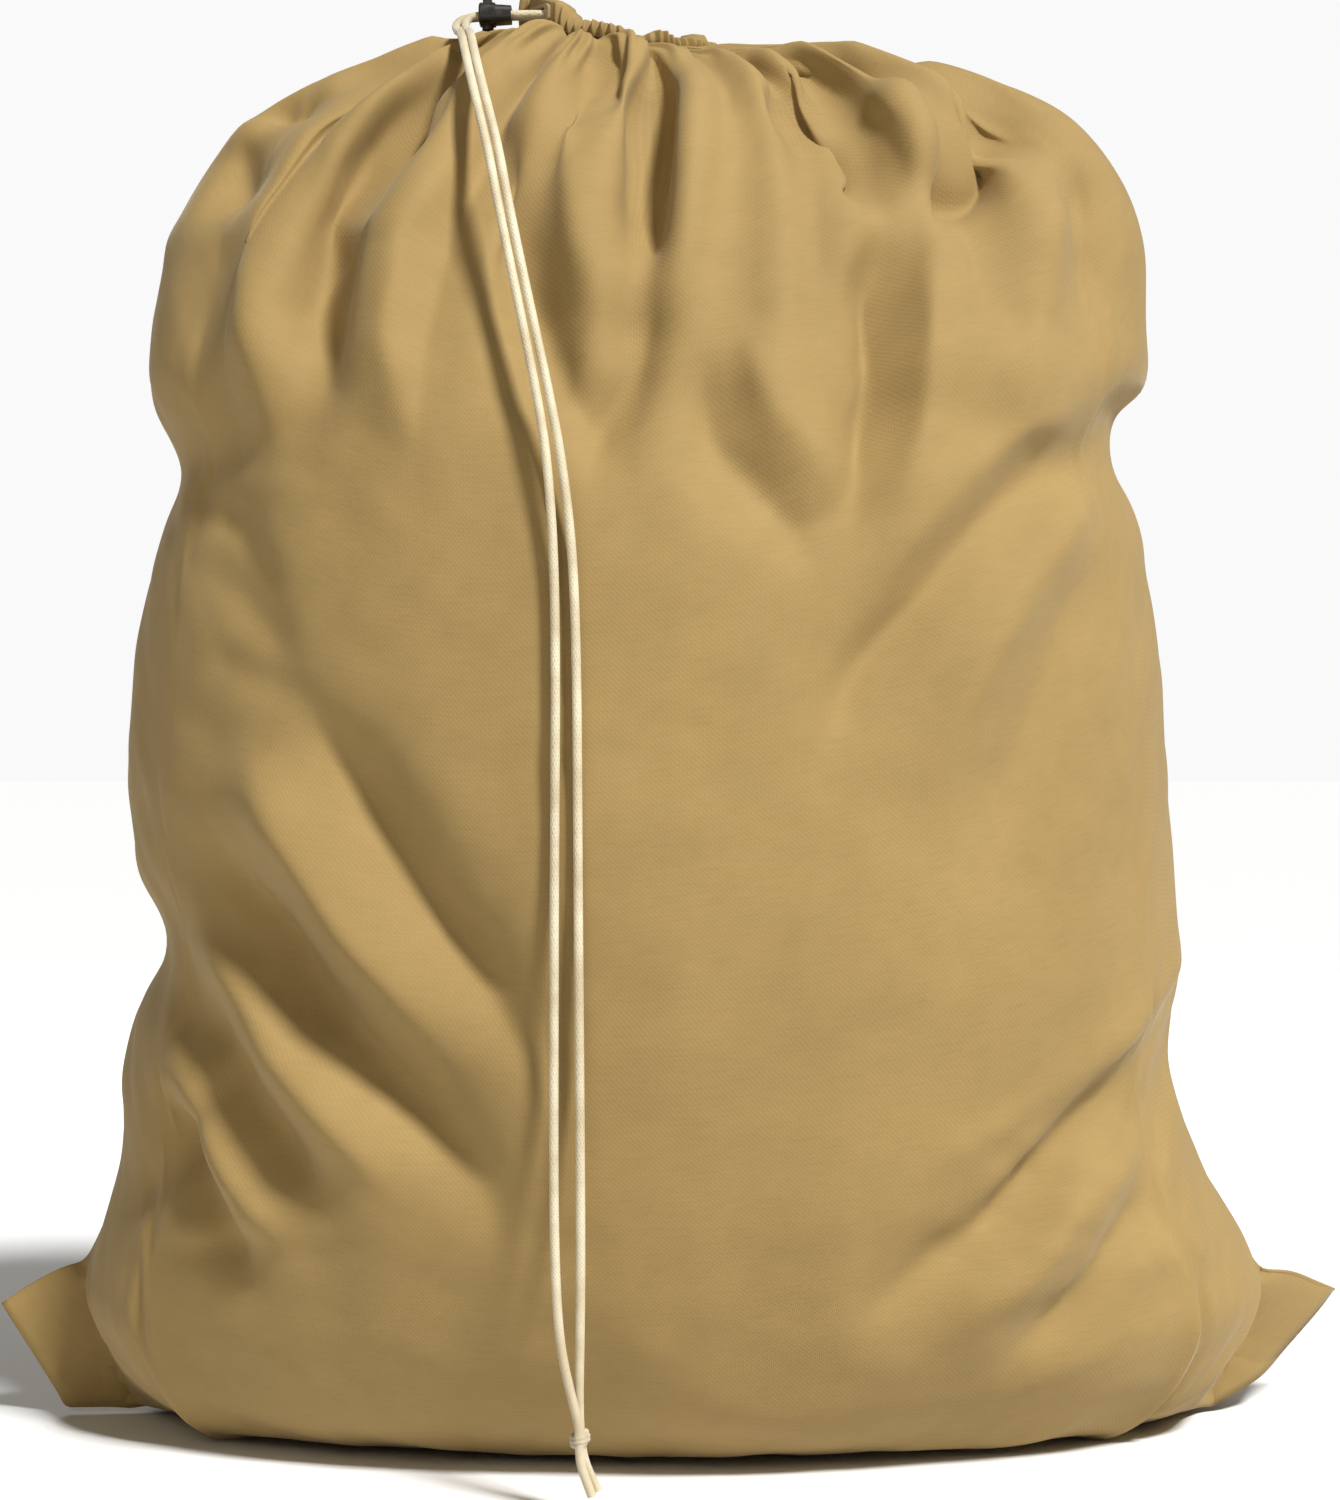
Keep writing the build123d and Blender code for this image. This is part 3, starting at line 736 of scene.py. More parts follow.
def steel_material(name):
    """Drawn spring wire with lengthwise brush marks."""
    material, tree, shader = new_material(name, 0.3)
    shader.inputs["Metallic"].default_value = 1.0
    place = scaled_place(tree, "Object", (4000.0, 600.0, 4000.0))
    marks = noise_at(tree, place, 1.0)
    base = colour_ramp(tree, marks, (0.38, 0.37, 0.35), (0.62, 0.61, 0.58))
    tree.links.new(base, shader.inputs["Base Color"])
    bump_chain(tree, shader, [(marks, 0.15, 0.00003)])
    return material


# ---------------------------------------------------------------- drawcord
def spline_curve(name, points, radius):
    """A round cord whose centre line is a smooth NURBS spline with these control points."""
    curve = bpy.data.curves.new(name, "CURVE")
    curve.dimensions = "3D"
    spline = curve.splines.new("NURBS")
    spline.points.add(len(points) - 1)
    for knot, point in zip(spline.points, points):
        knot.co = (*point, 1.0)
    spline.order_u = 3
    spline.use_endpoint_u = True
    spline.use_smooth = True
    curve.resolution_u = CORD_STEPS
    curve.bevel_depth = radius
    curve.bevel_resolution = 6
    curve.use_fill_caps = True
    return add_object(name, curve)


def knot_route():
    """The wraps of the overhand knot that ties both strands together, from its top to its foot."""
    low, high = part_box("drawcord_knot")
    centre = (low + high) / 2
    height = high.z - low.z - 2 * KNOT_CORD
    reach = (high.x - low.x) / 2 - KNOT_CORD
    points = []
    steps = 14 * KNOT_TURNS
    for step in range(steps + 1):
        share = step / steps
        turn = 2 * math.pi * KNOT_TURNS * share
        wobble = KNOT_WOBBLE * math.sin(3 * turn)
        squeeze = 1 - KNOT_TAPER * abs(2 * share - 1) ** 3
        x = centre.x + (reach * squeeze + wobble) * math.cos(turn)
        y = centre.y + (reach * squeeze + wobble) * math.sin(turn)
        z = centre.z + height * (0.5 - share) + KNOT_TILT * math.cos(turn)
        points.append((x, y, z))
    points.insert(0, (centre.x, centre.y, high.z - KNOT_CORD))
    points.append((centre.x, centre.y, low.z + KNOT_CORD))
    return points


def build_spring(material):
    """The cord lock's coil spring, copied from the CAD part and moved with the cord lock; the real spring
    shortens as the plunger is pressed.
    """
    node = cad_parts["cord_lock_spring"]
    mesh = node.data.copy()
    mesh.transform(node.matrix_world)
    spring = add_object("coil_spring", mesh)
    paint(spring, material)
    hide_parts("cord_lock_spring")
    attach(spring, "cord_lock")
    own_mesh(spring)
    return spring


def build_cords(material, spring):
    """Both strands with their tails, and the knot."""
    strand_left = spline_curve("drawcord_left", STRAND_LEFT, CORD_DIAMETER / 2)
    strand_right = spline_curve("drawcord_right", STRAND_RIGHT, CORD_DIAMETER / 2)
    knot = spline_curve("overhand_knot", knot_route(), KNOT_CORD)
    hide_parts("drawcord_strand_left", "drawcord_tail_front")
    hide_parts("drawcord_strand_right", "drawcord_tail_back")
    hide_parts("drawcord_knot")
    for piece in (strand_left, strand_right, knot):
        paint(piece, material)
        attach(piece, "bag")
    return strand_left, strand_right


def centre_line(curve_object):
    """Points along a cord's smooth centre line."""
    bare = curve_object.copy()
    bare.data = curve_object.data.copy()
    bare.data.bevel_depth = 0.0
    mesh = bpy.data.meshes.new_from_object(bare)
    points = np.array([vertex.co for vertex in mesh.vertices])
    bpy.data.meshes.remove(mesh)
    bpy.data.curves.remove(bare.data)
    return points


# ---------------------------------------------------------------- the cloth before it settles
def cloth_columns():
    """For each column of the cloth: its share of the way round, place across the flat bag,
    distance from the nearer side seam, side (-1 left, 1 right) and face (-1 front, 1 back)."""
    column = np.arange(COLUMNS)
    half = COLUMNS // 2
    across = np.where(column <= half, column, COLUMNS - column) / half * FLAT_WIDTH
    from_seam = np.minimum(across, FLAT_WIDTH - across)
    side = np.where(across < FLAT_WIDTH / 2, -1.0, 1.0)
    face = np.sign(column - half) * (column > 0)
    return column / COLUMNS, across, from_seam, side, face.astype(float)


def ear_edge(share, side):
    """A point on the ear's bottom edge, from its tip at 0 to its foot on the floor at 1."""
    tip, knee = EAR_TIPS[int(side)], EAR_KNEES[int(side)]
    knee_share = np.linalg.norm(tip - knee)
    knee_share /= knee_share + np.linalg.norm(knee - EAR_FOOT)
    corners = np.stack((tip, knee, EAR_FOOT)) * (side, 1, 1)
    return np.array([np.interp(share, (0, knee_share, 1), corners[:, axis]) for axis in range(3)])


def draped_cloth():
    """Every cloth point laid over the load, gathered at the mouth and pinched in at the ears."""
    heights, centres, half_widths, half_depths = smoothed_sections()
    shares, _, from_seam, side, face = cloth_columns()
    levels = np.zeros((COLUMNS, len(heights), 3))
    for index, height in enumerate(heights):
        x, y = ellipse_points(half_widths[index], half_depths[index], shares)
        levels[:, index] = np.stack((x + centres[index], y, np.full(COLUMNS, height)), -1)
    gathering = at_mouth(2 * math.pi * shares, GATHER_RADIUS, GATHER_RISE)
    up_cloth = np.linspace(0, FLAT_HEIGHT, ROWS + 1)
    points = np.zeros((COLUMNS, ROWS + 1, 3))
    for column in range(COLUMNS):
        share = from_seam[column] / EAR_FLAT_WIDTH
        wall = levels[column]
        if share >= 1:
            inner = (FLAT_WIDTH / 2 - from_seam[column]) / (FLAT_WIDTH / 2 - EAR_FLAT_WIDTH)
            foot = np.array((side[column] * inner * EAR_FOOT[0], FOOT_GAP * face[column], FOOT_HEIGHT))
            fold_height = 0.0
        else:
            mirror = (side[column], 1, 1)
            foot = (EAR_SHOULDER + (EAR_FOOT - EAR_SHOULDER) * share) * mirror
            wall = wall[wall[:, 2] > foot[2] + EAR_TURN_HEIGHT]
            fold_height = EAR_FLAT_HEIGHT * (1 - share)
        outward = abs(math.cos(2 * math.pi * shares[column]))
        lift = np.array((0, 0, COLLAR_LIFTS[int(side[column])] * outward))
        inward = gathering[column] - wall[-1]
        collar = [wall[-1] + inward * step + lift for step in COLLAR_STEPS]
        path = np.vstack((foot, wall, *collar, gathering[column]))
        along = np.concatenate(([0], np.cumsum(np.linalg.norm(np.diff(path, axis=0), axis=1))))
        for row in range(ROWS + 1):
            if up_cloth[row] < fold_height:
                edge = ear_edge(share, side[column])
                points[column, row] = edge + (foot - edge) * up_cloth[row] / fold_height
                outermost = (1 - share) * (1 - up_cloth[row] / fold_height)
                points[column, row, 1] += face[column] * EAR_GAP
                points[column, row, 1] += EAR_SWING[int(side[column])] * outermost**EAR_CURL
            else:
                reach = (up_cloth[row] - fold_height) / (FLAT_HEIGHT - fold_height) * along[-1]
                points[column, row] = [np.interp(reach, along, path[:, axis]) for axis in range(3)]
    return points


def outward_normals(points):
    """Unit normals of the cloth grid, pointing out of the bag."""
    round_bag = np.roll(points, -1, 0) - np.roll(points, 1, 0)
    up_bag = np.gradient(points, axis=1)
    normals = np.cross(round_bag, up_bag)
    return normals / np.maximum(np.linalg.norm(normals, axis=-1, keepdims=True), 1e-9)


def blurred(values, times):
    """The cloth grid's values averaged with their neighbours, several times."""
    for _ in range(times):
        padded = np.concatenate((values[:, :1], values, values[:, -1:]), axis=1)
        values = (padded[:, :-2] + padded[:, 2:] + 2 * values) / 4
        values = (np.roll(values, 1, 0) + np.roll(values, -1, 0) + 2 * values) / 4
    return values


def gather_folds(points):
    """Push the big gathered folds in and out under the mouth."""
    heights, centres, half_widths, half_depths = smoothed_sections()
    level = int(np.argmin(np.abs(heights - VALLEY_LEVEL)))
    shares = cloth_columns()[0]
    front = shares <= 0.5
    x, _ = ellipse_points(half_widths[level], half_depths[level], shares[front])
    random = np.random.default_rng(SEED)
    spots = [float(np.interp(place - centres[level], x, shares[front])) for place, _ in FRONT_VALLEYS]
    depths = [depth for _, depth in FRONT_VALLEYS]
    for index in range(BACK_VALLEYS):
        spots.append(0.5 + (index + 0.5 + random.uniform(*BACK_SCATTER)) / BACK_VALLEYS / 2)
        depths.append(random.uniform(*BACK_DEPTHS))
    spots = np.array(spots + [spots[0] + 1])
    depths = np.array(depths + [depths[0]])
    place = np.where(shares < spots[0], shares + 1, shares)
    before = np.clip(np.searchsorted(spots, place, side="right") - 1, 0, len(spots) - 2)
    gap = spots[before + 1] - spots[before]
    within = (place - spots[before]) / gap
    depth = depths[before] * (1 - within) + depths[before + 1] * within
    from_mouth = FLAT_HEIGHT - np.linspace(0, FLAT_HEIGHT, ROWS + 1)
    roundness = FOLD_ROUNDNESS[0] + FOLD_ROUNDNESS[1] * smooth_step(from_mouth, *FOLD_SOFTENING)
    crest = np.abs(np.sin(math.pi * within))[:, None] ** roundness[None, :]
    strength = np.interp(from_mouth, *np.array(FOLD_DEPTH).T)
    width_limit = np.minimum(gap / FULL_FOLD_GAP, MOST_FOLD)
    push = (crest - CREST_SHARE) * (depth * width_limit)[:, None] * strength[None, :]
    return points + push[..., None] * outward_normals(points)


# ---------------------------------------------------------------- settling the cloth
def grid_numbers():
    """A vertex number for each cloth point, with the front and back joined at the bottom seam."""
    half = COLUMNS // 2
    numbers = np.zeros((COLUMNS, ROWS + 1), int)
    column = np.arange(COLUMNS)
    numbers[:, 0] = np.where(column <= half, column, COLUMNS - column)
    numbers[:, 1:] = half + 1 + column[:, None] * ROWS + np.arange(ROWS)[None, :]
    return numbers


def grid_faces(numbers, closed):
    """Four-cornered faces between neighbouring columns and rows of a grid."""
    columns = len(numbers) if closed else len(numbers) - 1
    faces = []
    for column in range(columns):
        after = (column + 1) % len(numbers)
        for row in range(numbers.shape[1] - 1):
            corners = (
                numbers[column, row],
                numbers[after, row],
                numbers[after, row + 1],
                numbers[column, row + 1],
            )
            faces.append(tuple(int(corner) for corner in corners))
    return faces


def load_shape():
    """The rounded body that the cloth settles over, as corner points and faces."""
    heights, centres, half_widths, half_depths = smoothed_sections()
    turn = np.linspace(0, 2 * math.pi, LAUNDRY_CORNERS, endpoint=False)
    corners = []
    for level in range(0, len(heights), LAUNDRY_LEVEL_STEP):
        near_top = smooth_step(heights[level], SHOULDER_START, SHOULDER_END)
        gap = LOAD_INSET + (LOAD_TOP_INSET - LOAD_INSET) * near_top
        height = max(heights[level] - LOAD_DROP * near_top, LOAD_BASE)
        x = centres[level] + (half_widths[level] - gap) * np.cos(turn)
        y = (half_depths[level] - gap) * np.sin(turn)
        corners.append(np.stack((x, y, np.full(LAUNDRY_CORNERS, height)), -1))
    corners = np.array(corners)
    numbers = np.arange(corners.size // 3).reshape(len(corners), LAUNDRY_CORNERS).T
    faces = grid_faces(numbers, closed=True)
    faces.append(tuple(int(number) for number in numbers[::-1, 0]))
    faces.append(tuple(int(number) for number in numbers[:, -1]))
    return corners.reshape(-1, 3), faces


def collider(name, corners, faces):
    """Something for the cloth to rest on while it settles."""
    mesh = bpy.data.meshes.new(name)
    mesh.from_pydata(np.asarray(corners).tolist(), [], faces)
    made = add_object(name, mesh)
    made.modifiers.new("collision", "COLLISION")
    made.collision.thickness_outer = COLLISION_GAP
    made.collision.cloth_friction = 8
    return made


def settle(points):
    """Let the cloth, cut to its flat size, settle over the load and the floor."""
    numbers = grid_numbers()
    _, across, from_seam, _, face = cloth_columns()
    start = np.zeros((numbers.max() + 1, 3))
    start[numbers.ravel()] = points.reshape(-1, 3)
    start[numbers[:, 0], 1] = (points[:, 0, 1] + points[-np.arange(COLUMNS), 0, 1]) / 2
    flat = np.zeros_like(start)
    flat_grid = np.zeros_like(points)
    flat_grid[..., 0] = (across - FLAT_WIDTH / 2)[:, None]
    flat_grid[..., 1] = face[:, None] * 0.001
    flat_grid[..., 2] = np.linspace(0, FLAT_HEIGHT, ROWS + 1)
    flat[numbers.ravel()] = flat_grid.reshape(-1, 3)
    mesh = bpy.data.meshes.new("settling_cloth")
    mesh.from_pydata(start.tolist(), [], grid_faces(numbers, closed=True))
    cloth = add_object("settling_cloth", mesh)
    cloth.shape_key_add(name="Basis")
    cut = cloth.shape_key_add(name="flat")
    cut.data.foreach_set("co", flat.astype(np.float32).ravel())
    held = cloth.vertex_groups.new(name="held")
    held.add(numbers[:, -1].tolist(), 1.0, "REPLACE")
    up_share = np.linspace(0, FLAT_HEIGHT, ROWS + 1) / EAR_FLAT_HEIGHT
    in_ear = from_seam[:, None] / EAR_FLAT_WIDTH + up_share[None, :] < EAR_HELD
    held.add([int(number) for number in numbers[in_ear]], 1.0, "REPLACE")
    load = collider("settling_load", *load_shape())
    ground = collider("settling_floor", *flat_square(2.0, GROUND_HEIGHT))
    modifier = cloth.modifiers.new("settling", "CLOTH")
    settings = modifier.settings
    settings.quality = CLOTH_QUALITY
    settings.mass = CLOTH_MASS
    settings.tension_stiffness = CLOTH_TENSION
    settings.compression_stiffness = CLOTH_COMPRESSION
    settings.shear_stiffness = CLOTH_SHEAR
    settings.bending_stiffness = CLOTH_BENDING
    settings.tension_damping = CLOTH_DAMPING
    settings.compression_damping = CLOTH_DAMPING
    settings.shear_damping = CLOTH_DAMPING
    settings.bending_damping = BEND_DAMPING
    settings.air_damping = AIR_DAMPING
    settings.vertex_group_mass = "held"
    settings.rest_shape_key = cut
    settings.use_pressure = True
    settings.uniform_pressure_force = CLOTH_PRESSURE
    settings.effector_weights.gravity = CLOTH_GRAVITY
    modifier.collision_settings.distance_min = COLLISION_GAP
    modifier.point_cache.frame_start = 1
    modifier.point_cache.frame_end = SETTLING_FRAMES
    for step in range(1, SETTLING_FRAMES + 1):
        bpy.context.scene.frame_set(step)
    settled = cloth.evaluated_get(bpy.context.evaluated_depsgraph_get())
    places = np.zeros(len(start) * 3, np.float32)
    settled.data.vertices.foreach_get("co", places)
    for thing in (cloth, load, ground):
        bpy.data.objects.remove(thing)
    moved = blurred(places.reshape(-1, 3)[numbers].astype(float) - points, MOVEMENT_BLUR)
    distance = np.linalg.norm(moved, axis=-1, keepdims=True)
    return points + moved * np.minimum(1.0, SETTLING_CAP / np.maximum(distance, 1e-9))


# ---------------------------------------------------------------- finishing the cloth
def subdivided(values, pieces, closed):
    """More values along the first axis, on smooth curves through the old ones."""
    if closed:
        here = values
        before, after, beyond = (np.roll(values, shift, 0) for shift in (1, -1, -2))
    else:
        ends = (2 * values[:1] - values[1:2], values, 2 * values[-1:] - values[-2:-1])
        padded = np.concatenate(ends)
        before, here, after, beyond = padded[:-3], padded[1:-2], padded[2:-1], padded[3:]
    made = []
    for piece in range(pieces):
        share = piece / pieces
        linear = (after - before) * share
        square = (2 * before - 5 * here + 4 * after - beyond) * share**2
        cube = (3 * here - before - 3 * after + beyond) * share**3
        made.append(here + (linear + square + cube) / 2)
    result = np.stack(made, 1).reshape(-1, *values.shape[1:])
    return result if closed else np.concatenate((result, values[-1:]))


def finer_cloth(points):
    """The settled cloth on a finer grid."""
    wide = subdivided(points, COLUMN_SPLIT, closed=True)
    return subdivided(wide.swapaxes(0, 1), ROW_SPLIT, closed=False).swapaxes(0, 1)


def from_line(x, z, line):
    """Distance of each point from a line of corners, and its share of the way along it."""
    corners = np.array(line)
    runs = np.linalg.norm(np.diff(corners, axis=0), axis=1)
    nearest = np.full(x.shape, 1e9)
    along = np.zeros(x.shape)
    passed = 0.0
    for start, end, run in zip(corners, corners[1:], runs):
        share = ((x - start[0]) * (end[0] - start[0]) + (z - start[1]) * (end[1] - start[1])) / run**2
        share = np.clip(share, 0, 1)
        gap_x = x - start[0] - share * (end[0] - start[0])
        gap_z = z - start[1] - share * (end[1] - start[1])
        distance = np.hypot(gap_x, gap_z)
        closer = distance < nearest
        nearest = np.where(closer, distance, nearest)
        along = np.where(closer, (passed + share * run) / runs.sum(), along)
        passed += run
    return nearest, along


def crease_depth(x, z, line, half_width, depth):
    """How far one crease lowers the cloth: full in its middle and nothing at its ends."""
    distance, along = from_line(x, z, line)
    fade = smooth_step(along, *CREASE_FADES[0]) * (1 - smooth_step(along, *CREASE_FADES[1]))
    return depth * fade * np.exp(-np.abs(distance / half_width) ** CREASE_SHARPNESS)


def fan_creases(fan, random):
    """Lines that spread from one corner, each with its own length, bend and depth."""
    face, start, (first, last), (near, far), count, depth = fan
    lines = []
    for index in range(count):
        share = (index + random.uniform(0.2, 0.8)) / count
        angle = math.radians(first + (last - first) * share)
        bend = math.radians(random.uniform(*FAN_BEND))
        reach = random.uniform(near, far)
        skip = random.uniform(*FAN_START) * reach
        middle = skip + (reach - skip) / 2
        line = []
        for length, turn in ((skip, 0.0), (middle, bend / 2), (reach, bend)):
            x = start[0] + length * math.cos(angle + turn)
            line.append((x, start[1] + length * math.sin(angle + turn)))
        width = random.uniform(*FAN_WIDTH)
        crease = depth * random.uniform(*FAN_DEPTH) * random.choice(FAN_SIGNS)
        lines.append((face, line, width, crease))
    return lines


def creased(points):
    """The cloth with its listed creases and the fine ones that fan from its corners."""
    random = np.random.default_rng(SEED)
    normals = outward_normals(points)
    lines = [(-1, line, width, depth) for line, width, depth in CREASES]
    for fan in CREASE_FANS:
        lines.extend(fan_creases(fan, random))
    x, y, z = points[..., 0], points[..., 1], points[..., 2]
    lowered = np.zeros(x.shape)
    for face, line, width, depth in lines:
        faces_us = smooth_step(normals[..., 1] * face, 0.0, SEEN_FACE) * (y * face > 0)
        lowered += faces_us * crease_depth(x, z, line, width, depth)
    for side, height, half_height, half_depth, depth in PINCHES:
        spread = np.exp(-(((z - height) / half_height) ** 2) - (y / half_depth) ** 2)
        lowered += depth * spread * (x * side > PINCHED_BEYOND)
    return points - normals * blurred(lowered, CREASE_BLUR)[..., None]


def uneven(points, flat):
    """Slight unevenness all over, from crossing ripples of many lengths."""
    random = np.random.default_rng(SEED)
    height = np.zeros(points.shape[:2])
    for _ in range(RIPPLES):
        length = random.uniform(*RIPPLE_LENGTHS)
        angle = random.uniform(0, math.pi)
        phase = random.uniform(0, 2 * math.pi)
        place = flat[..., 0] * math.cos(angle) + flat[..., 1] * math.sin(angle)
        height += RIPPLE_STEEPNESS * length * np.sin(2 * math.pi * place / length + phase)
    return points + outward_normals(points) * height[..., None]


def pleated(points):
    """The small pleats where the cloth is gathered under the hem."""
    columns, rows = points.shape[:2]
    turn = 2 * math.pi * np.arange(columns) / columns
    from_mouth = FLAT_HEIGHT * (1 - np.arange(rows) / (rows - 1))
    fade = 1 - smooth_step(from_mouth, *SMALL_PLEAT_FADE)
    wave = np.cos(SMALL_PLEATS * turn + 0.8 * np.sin(5 * turn)) * (0.75 + 0.25 * np.sin(7 * turn))
    push = SMALL_PLEAT_DEPTH * wave[:, None] * fade[None, :]
    return points + blurred(outward_normals(points), 6) * push[..., None]


def cleared(points, path, room, reach):
    """The cloth pressed in wherever it comes nearer to a path than its room."""
    normals = blurred(outward_normals(points), 30)
    normals /= np.linalg.norm(normals, axis=-1, keepdims=True)
    for place in path:
        gap = points - place
        height = np.einsum("ijk,ijk->ij", gap, normals)
        aside = np.sqrt(np.maximum(np.einsum("ijk,ijk->ij", gap, gap) - height**2, 0))
        near = (aside < reach) & (np.abs(height) < NEAR_SIDE)
        push = np.maximum(height + room, 0) * (1 - smooth_step(aside, room, reach)) * near
        points = points - normals * push[..., None]
    return points


def below_lock(points):
    """The cloth lowered smoothly under the cord lock and the strands beside it."""
    low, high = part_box("cord_lock_body")
    beside = points[..., 0] - np.clip(points[..., 0], low.x - LOCK_REACH, OPENING_CENTRE[0])
    aside = np.hypot(beside, points[..., 1] - (low.y + high.y) / 2)
    ceiling = STRAND_LEFT[0][2] - LOCK_ROOM + LOCK_SLOPE * np.maximum(aside - LOCK_REACH, 0)
    above = (points[..., 2] - ceiling) / LOCK_SOFTNESS
    lowered = points.copy()
    lowered[..., 2] -= LOCK_SOFTNESS * np.logaddexp(0, above)
    return lowered


# ---------------------------------------------------------------- cloth pieces
def grid_mesh(name, points, flat, closed=False):
    """A smooth mesh from a grid of points, with a map of where each lies on the flat cloth."""
    numbers = np.arange(points.shape[0] * points.shape[1]).reshape(points.shape[:2])
    mesh = bpy.data.meshes.new(name)
    mesh.from_pydata(points.reshape(-1, 3).tolist(), [], grid_faces(numbers, closed))
    mesh.shade_smooth()
    corner_points = np.zeros(len(mesh.loops), int)
    mesh.loops.foreach_get("vertex_index", corner_points)
    layer = mesh.uv_layers.new(name="UVMap")
    layer.data.foreach_set("uv", flat.reshape(-1, 2)[corner_points].astype(np.float32).ravel())
    return add_object(name, mesh)


def thickened(thing, thickness):
    """Give a sheet its thickness, added on its inner side."""
    modifier = thing.modifiers.new("thickness", "SOLIDIFY")
    modifier.thickness = thickness
    modifier.offset = -1.0
    return thing


def finish_piece(thing, material, slot, *nodes):
    """Paint a piece of the bag, hide the CAD parts that it stands for, and attach it to the bag."""
    paint(thing, material)
    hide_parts(*nodes)
    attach(thing, "bag")
    return thing


def build_panels(points, flat, material):
    """Front and back panels, which meet along both side seams and the bottom seam."""
    half = len(points) // 2
    round_columns = np.arange(len(points) + 1) % len(points)
    made = []
    for label, columns in (("front", round_columns[: half + 1]), ("back", round_columns[half:])):
        sheet = grid_mesh(f"canvas_{label}", points[columns], flat[columns])
        thickened(sheet, CLOTH_THICKNESS)
        made.append(finish_piece(sheet, material, "canvas", f"{label}_panel"))
    return made


def build_seams(points, flat, material):
    """Seam allowances inside the back panel, along its sides and its bottom edge."""
    inner = points - outward_normals(points) * (CLOTH_THICKNESS + SEAM_GAP)
    columns = len(points)
    width = int(round(SEAM_ALLOWANCE / (2 * FLAT_WIDTH / columns))) + 1
    rows = slice(SEAM_FIRST_ROW, int(points.shape[1] * SEAM_TOP))
    right = columns // 2 + np.arange(width)
    left = columns - width + np.arange(width)
    for label, strip in (("left", left), ("right", right)):
        seam = grid_mesh(f"seam_{label}", inner[strip][:, rows], flat[strip][:, rows])
        finish_piece(thickened(seam, SEAM_THICKNESS), material, "canvas", f"{label}_side_seam")
    foot = np.arange(columns // 2 + SEAM_CORNER, columns - SEAM_CORNER)
    seam = grid_mesh("seam_bottom", inner[foot][:, :3], flat[foot][:, :3])
    finish_piece(thickened(seam, SEAM_THICKNESS), material, "canvas", "bottom_seam")


def build_laundry(material):
    """The clothes inside: a lumpy heap that fills the bag and rounds off below its mouth."""
    heights, centres, half_widths, half_depths = smoothed_sections()
    turn = np.linspace(0, 2 * math.pi, LAUNDRY_CORNERS, endpoint=False)
    rings = []
    for level in range(2, len(heights) - 4, LAUNDRY_LEVEL_STEP):
        below_bag = smooth_step(heights[level], LAUNDRY_SLOPE_START, SHOULDER_END)
        near_top = smooth_step(heights[level], SHOULDER_START, SHOULDER_END)
        lift = max(heights[level] - LAUNDRY_DROP * below_bag, LAUNDRY_BASE)
        gap = LAUNDRY_INSET + LAUNDRY_TOP_INSET * near_top
        x = centres[level] + (half_widths[level] - gap) * np.cos(turn)
        y = (half_depths[level] - gap) * np.sin(turn)
        rings.append(np.stack((x, y, np.full(len(turn), lift)), -1))
    bottom, top = rings[0], rings[-1]
    for share in LAUNDRY_CAPS:
        rings.insert(0, bottom * (share, share, 1))
        crown = (top - top.mean(0)) * (share, share, 1) + top.mean(0)
        rings.append(crown + (0, 0, LAUNDRY_CROWN * (1 - share**2)))
    grid = np.array(rings).swapaxes(0, 1)
    lumps = np.zeros(grid.shape[:2])
    for index in np.ndindex(*lumps.shape):
        place = Vector(grid[index])
        broad, fine = (noise.noise(place * scale) for scale in LUMP_SCALES)
        lumps[index] = broad + 0.5 * abs(fine)
    grid = grid - outward_normals(grid) * LUMP_DEPTH * (1 + lumps[..., None])
    across, up = np.arange(LAUNDRY_CORNERS), np.arange(len(rings))
    flat = np.stack(np.meshgrid(across, up, indexing="ij"), -1) / LAUNDRY_CORNERS
    heap = grid_mesh("laundry_heap", grid, flat, closed=True)
    finish_piece(heap, material, "laundry", "laundry_load")


# ---------------------------------------------------------------- hem
def hem_surface(turn, height_share, outer):
    """A point of the ruffled hem. height_share is 0 at the gathering and 1 at the top edge."""
    beside_opening = np.abs(turn - OPENING_TURN)
    calm = smooth_step(beside_opening, *HEM_CALM)
    height = np.interp(turn, *np.array(HEM_HEIGHTS).T)
    ripple = sum(size * np.sin(count * turn + phase) for size, count, phase in HEM_RIPPLES)
    height = height + ripple * calm * height_share
    pleat = np.cos(HEM_PLEATS * turn + 0.9 * np.sin(5 * turn + 1) + 0.6 * np.sin(11 * turn + 2))
    pleat = HEM_PLEAT_DEPTH * pleat * (0.8 + 0.35 * np.sin(6 * turn))
    wave = HEM_WAVE * np.sin(HEM_WAVES * turn + 0.8 * np.sin(3 * turn)) * height_share
    push = calm * (pleat * (0.75 + 0.5 * height_share) + wave)
    belly = np.sin(math.pi * np.clip(height_share, 0, 1)) ** 0.8
    if outer:
        radius = HEM_OUTER - HEM_TAPER * (1 - belly) * calm + push
    else:
        radius = HEM_INNER + HEM_TAPER * (1 - belly) + push
    return at_mouth(turn, radius, height * height_share)


def hem_grid(turn):
    """The hem's closed tube of cloth: up its outer wall, over the top and down its inner wall."""
    walls = []
    for height_share in np.linspace(0, 1, 15):
        walls.append(hem_surface(turn, height_share, outer=True))
    over = [hem_surface(turn, HEM_TURN_OVER, outer) for outer in (True, False)]
    walls.append((over[0] + over[1]) / 2)
    for height_share in np.linspace(1, 0, 11):
        walls.append(hem_surface(turn, height_share, outer=False))
    return np.array(walls).swapaxes(0, 1)


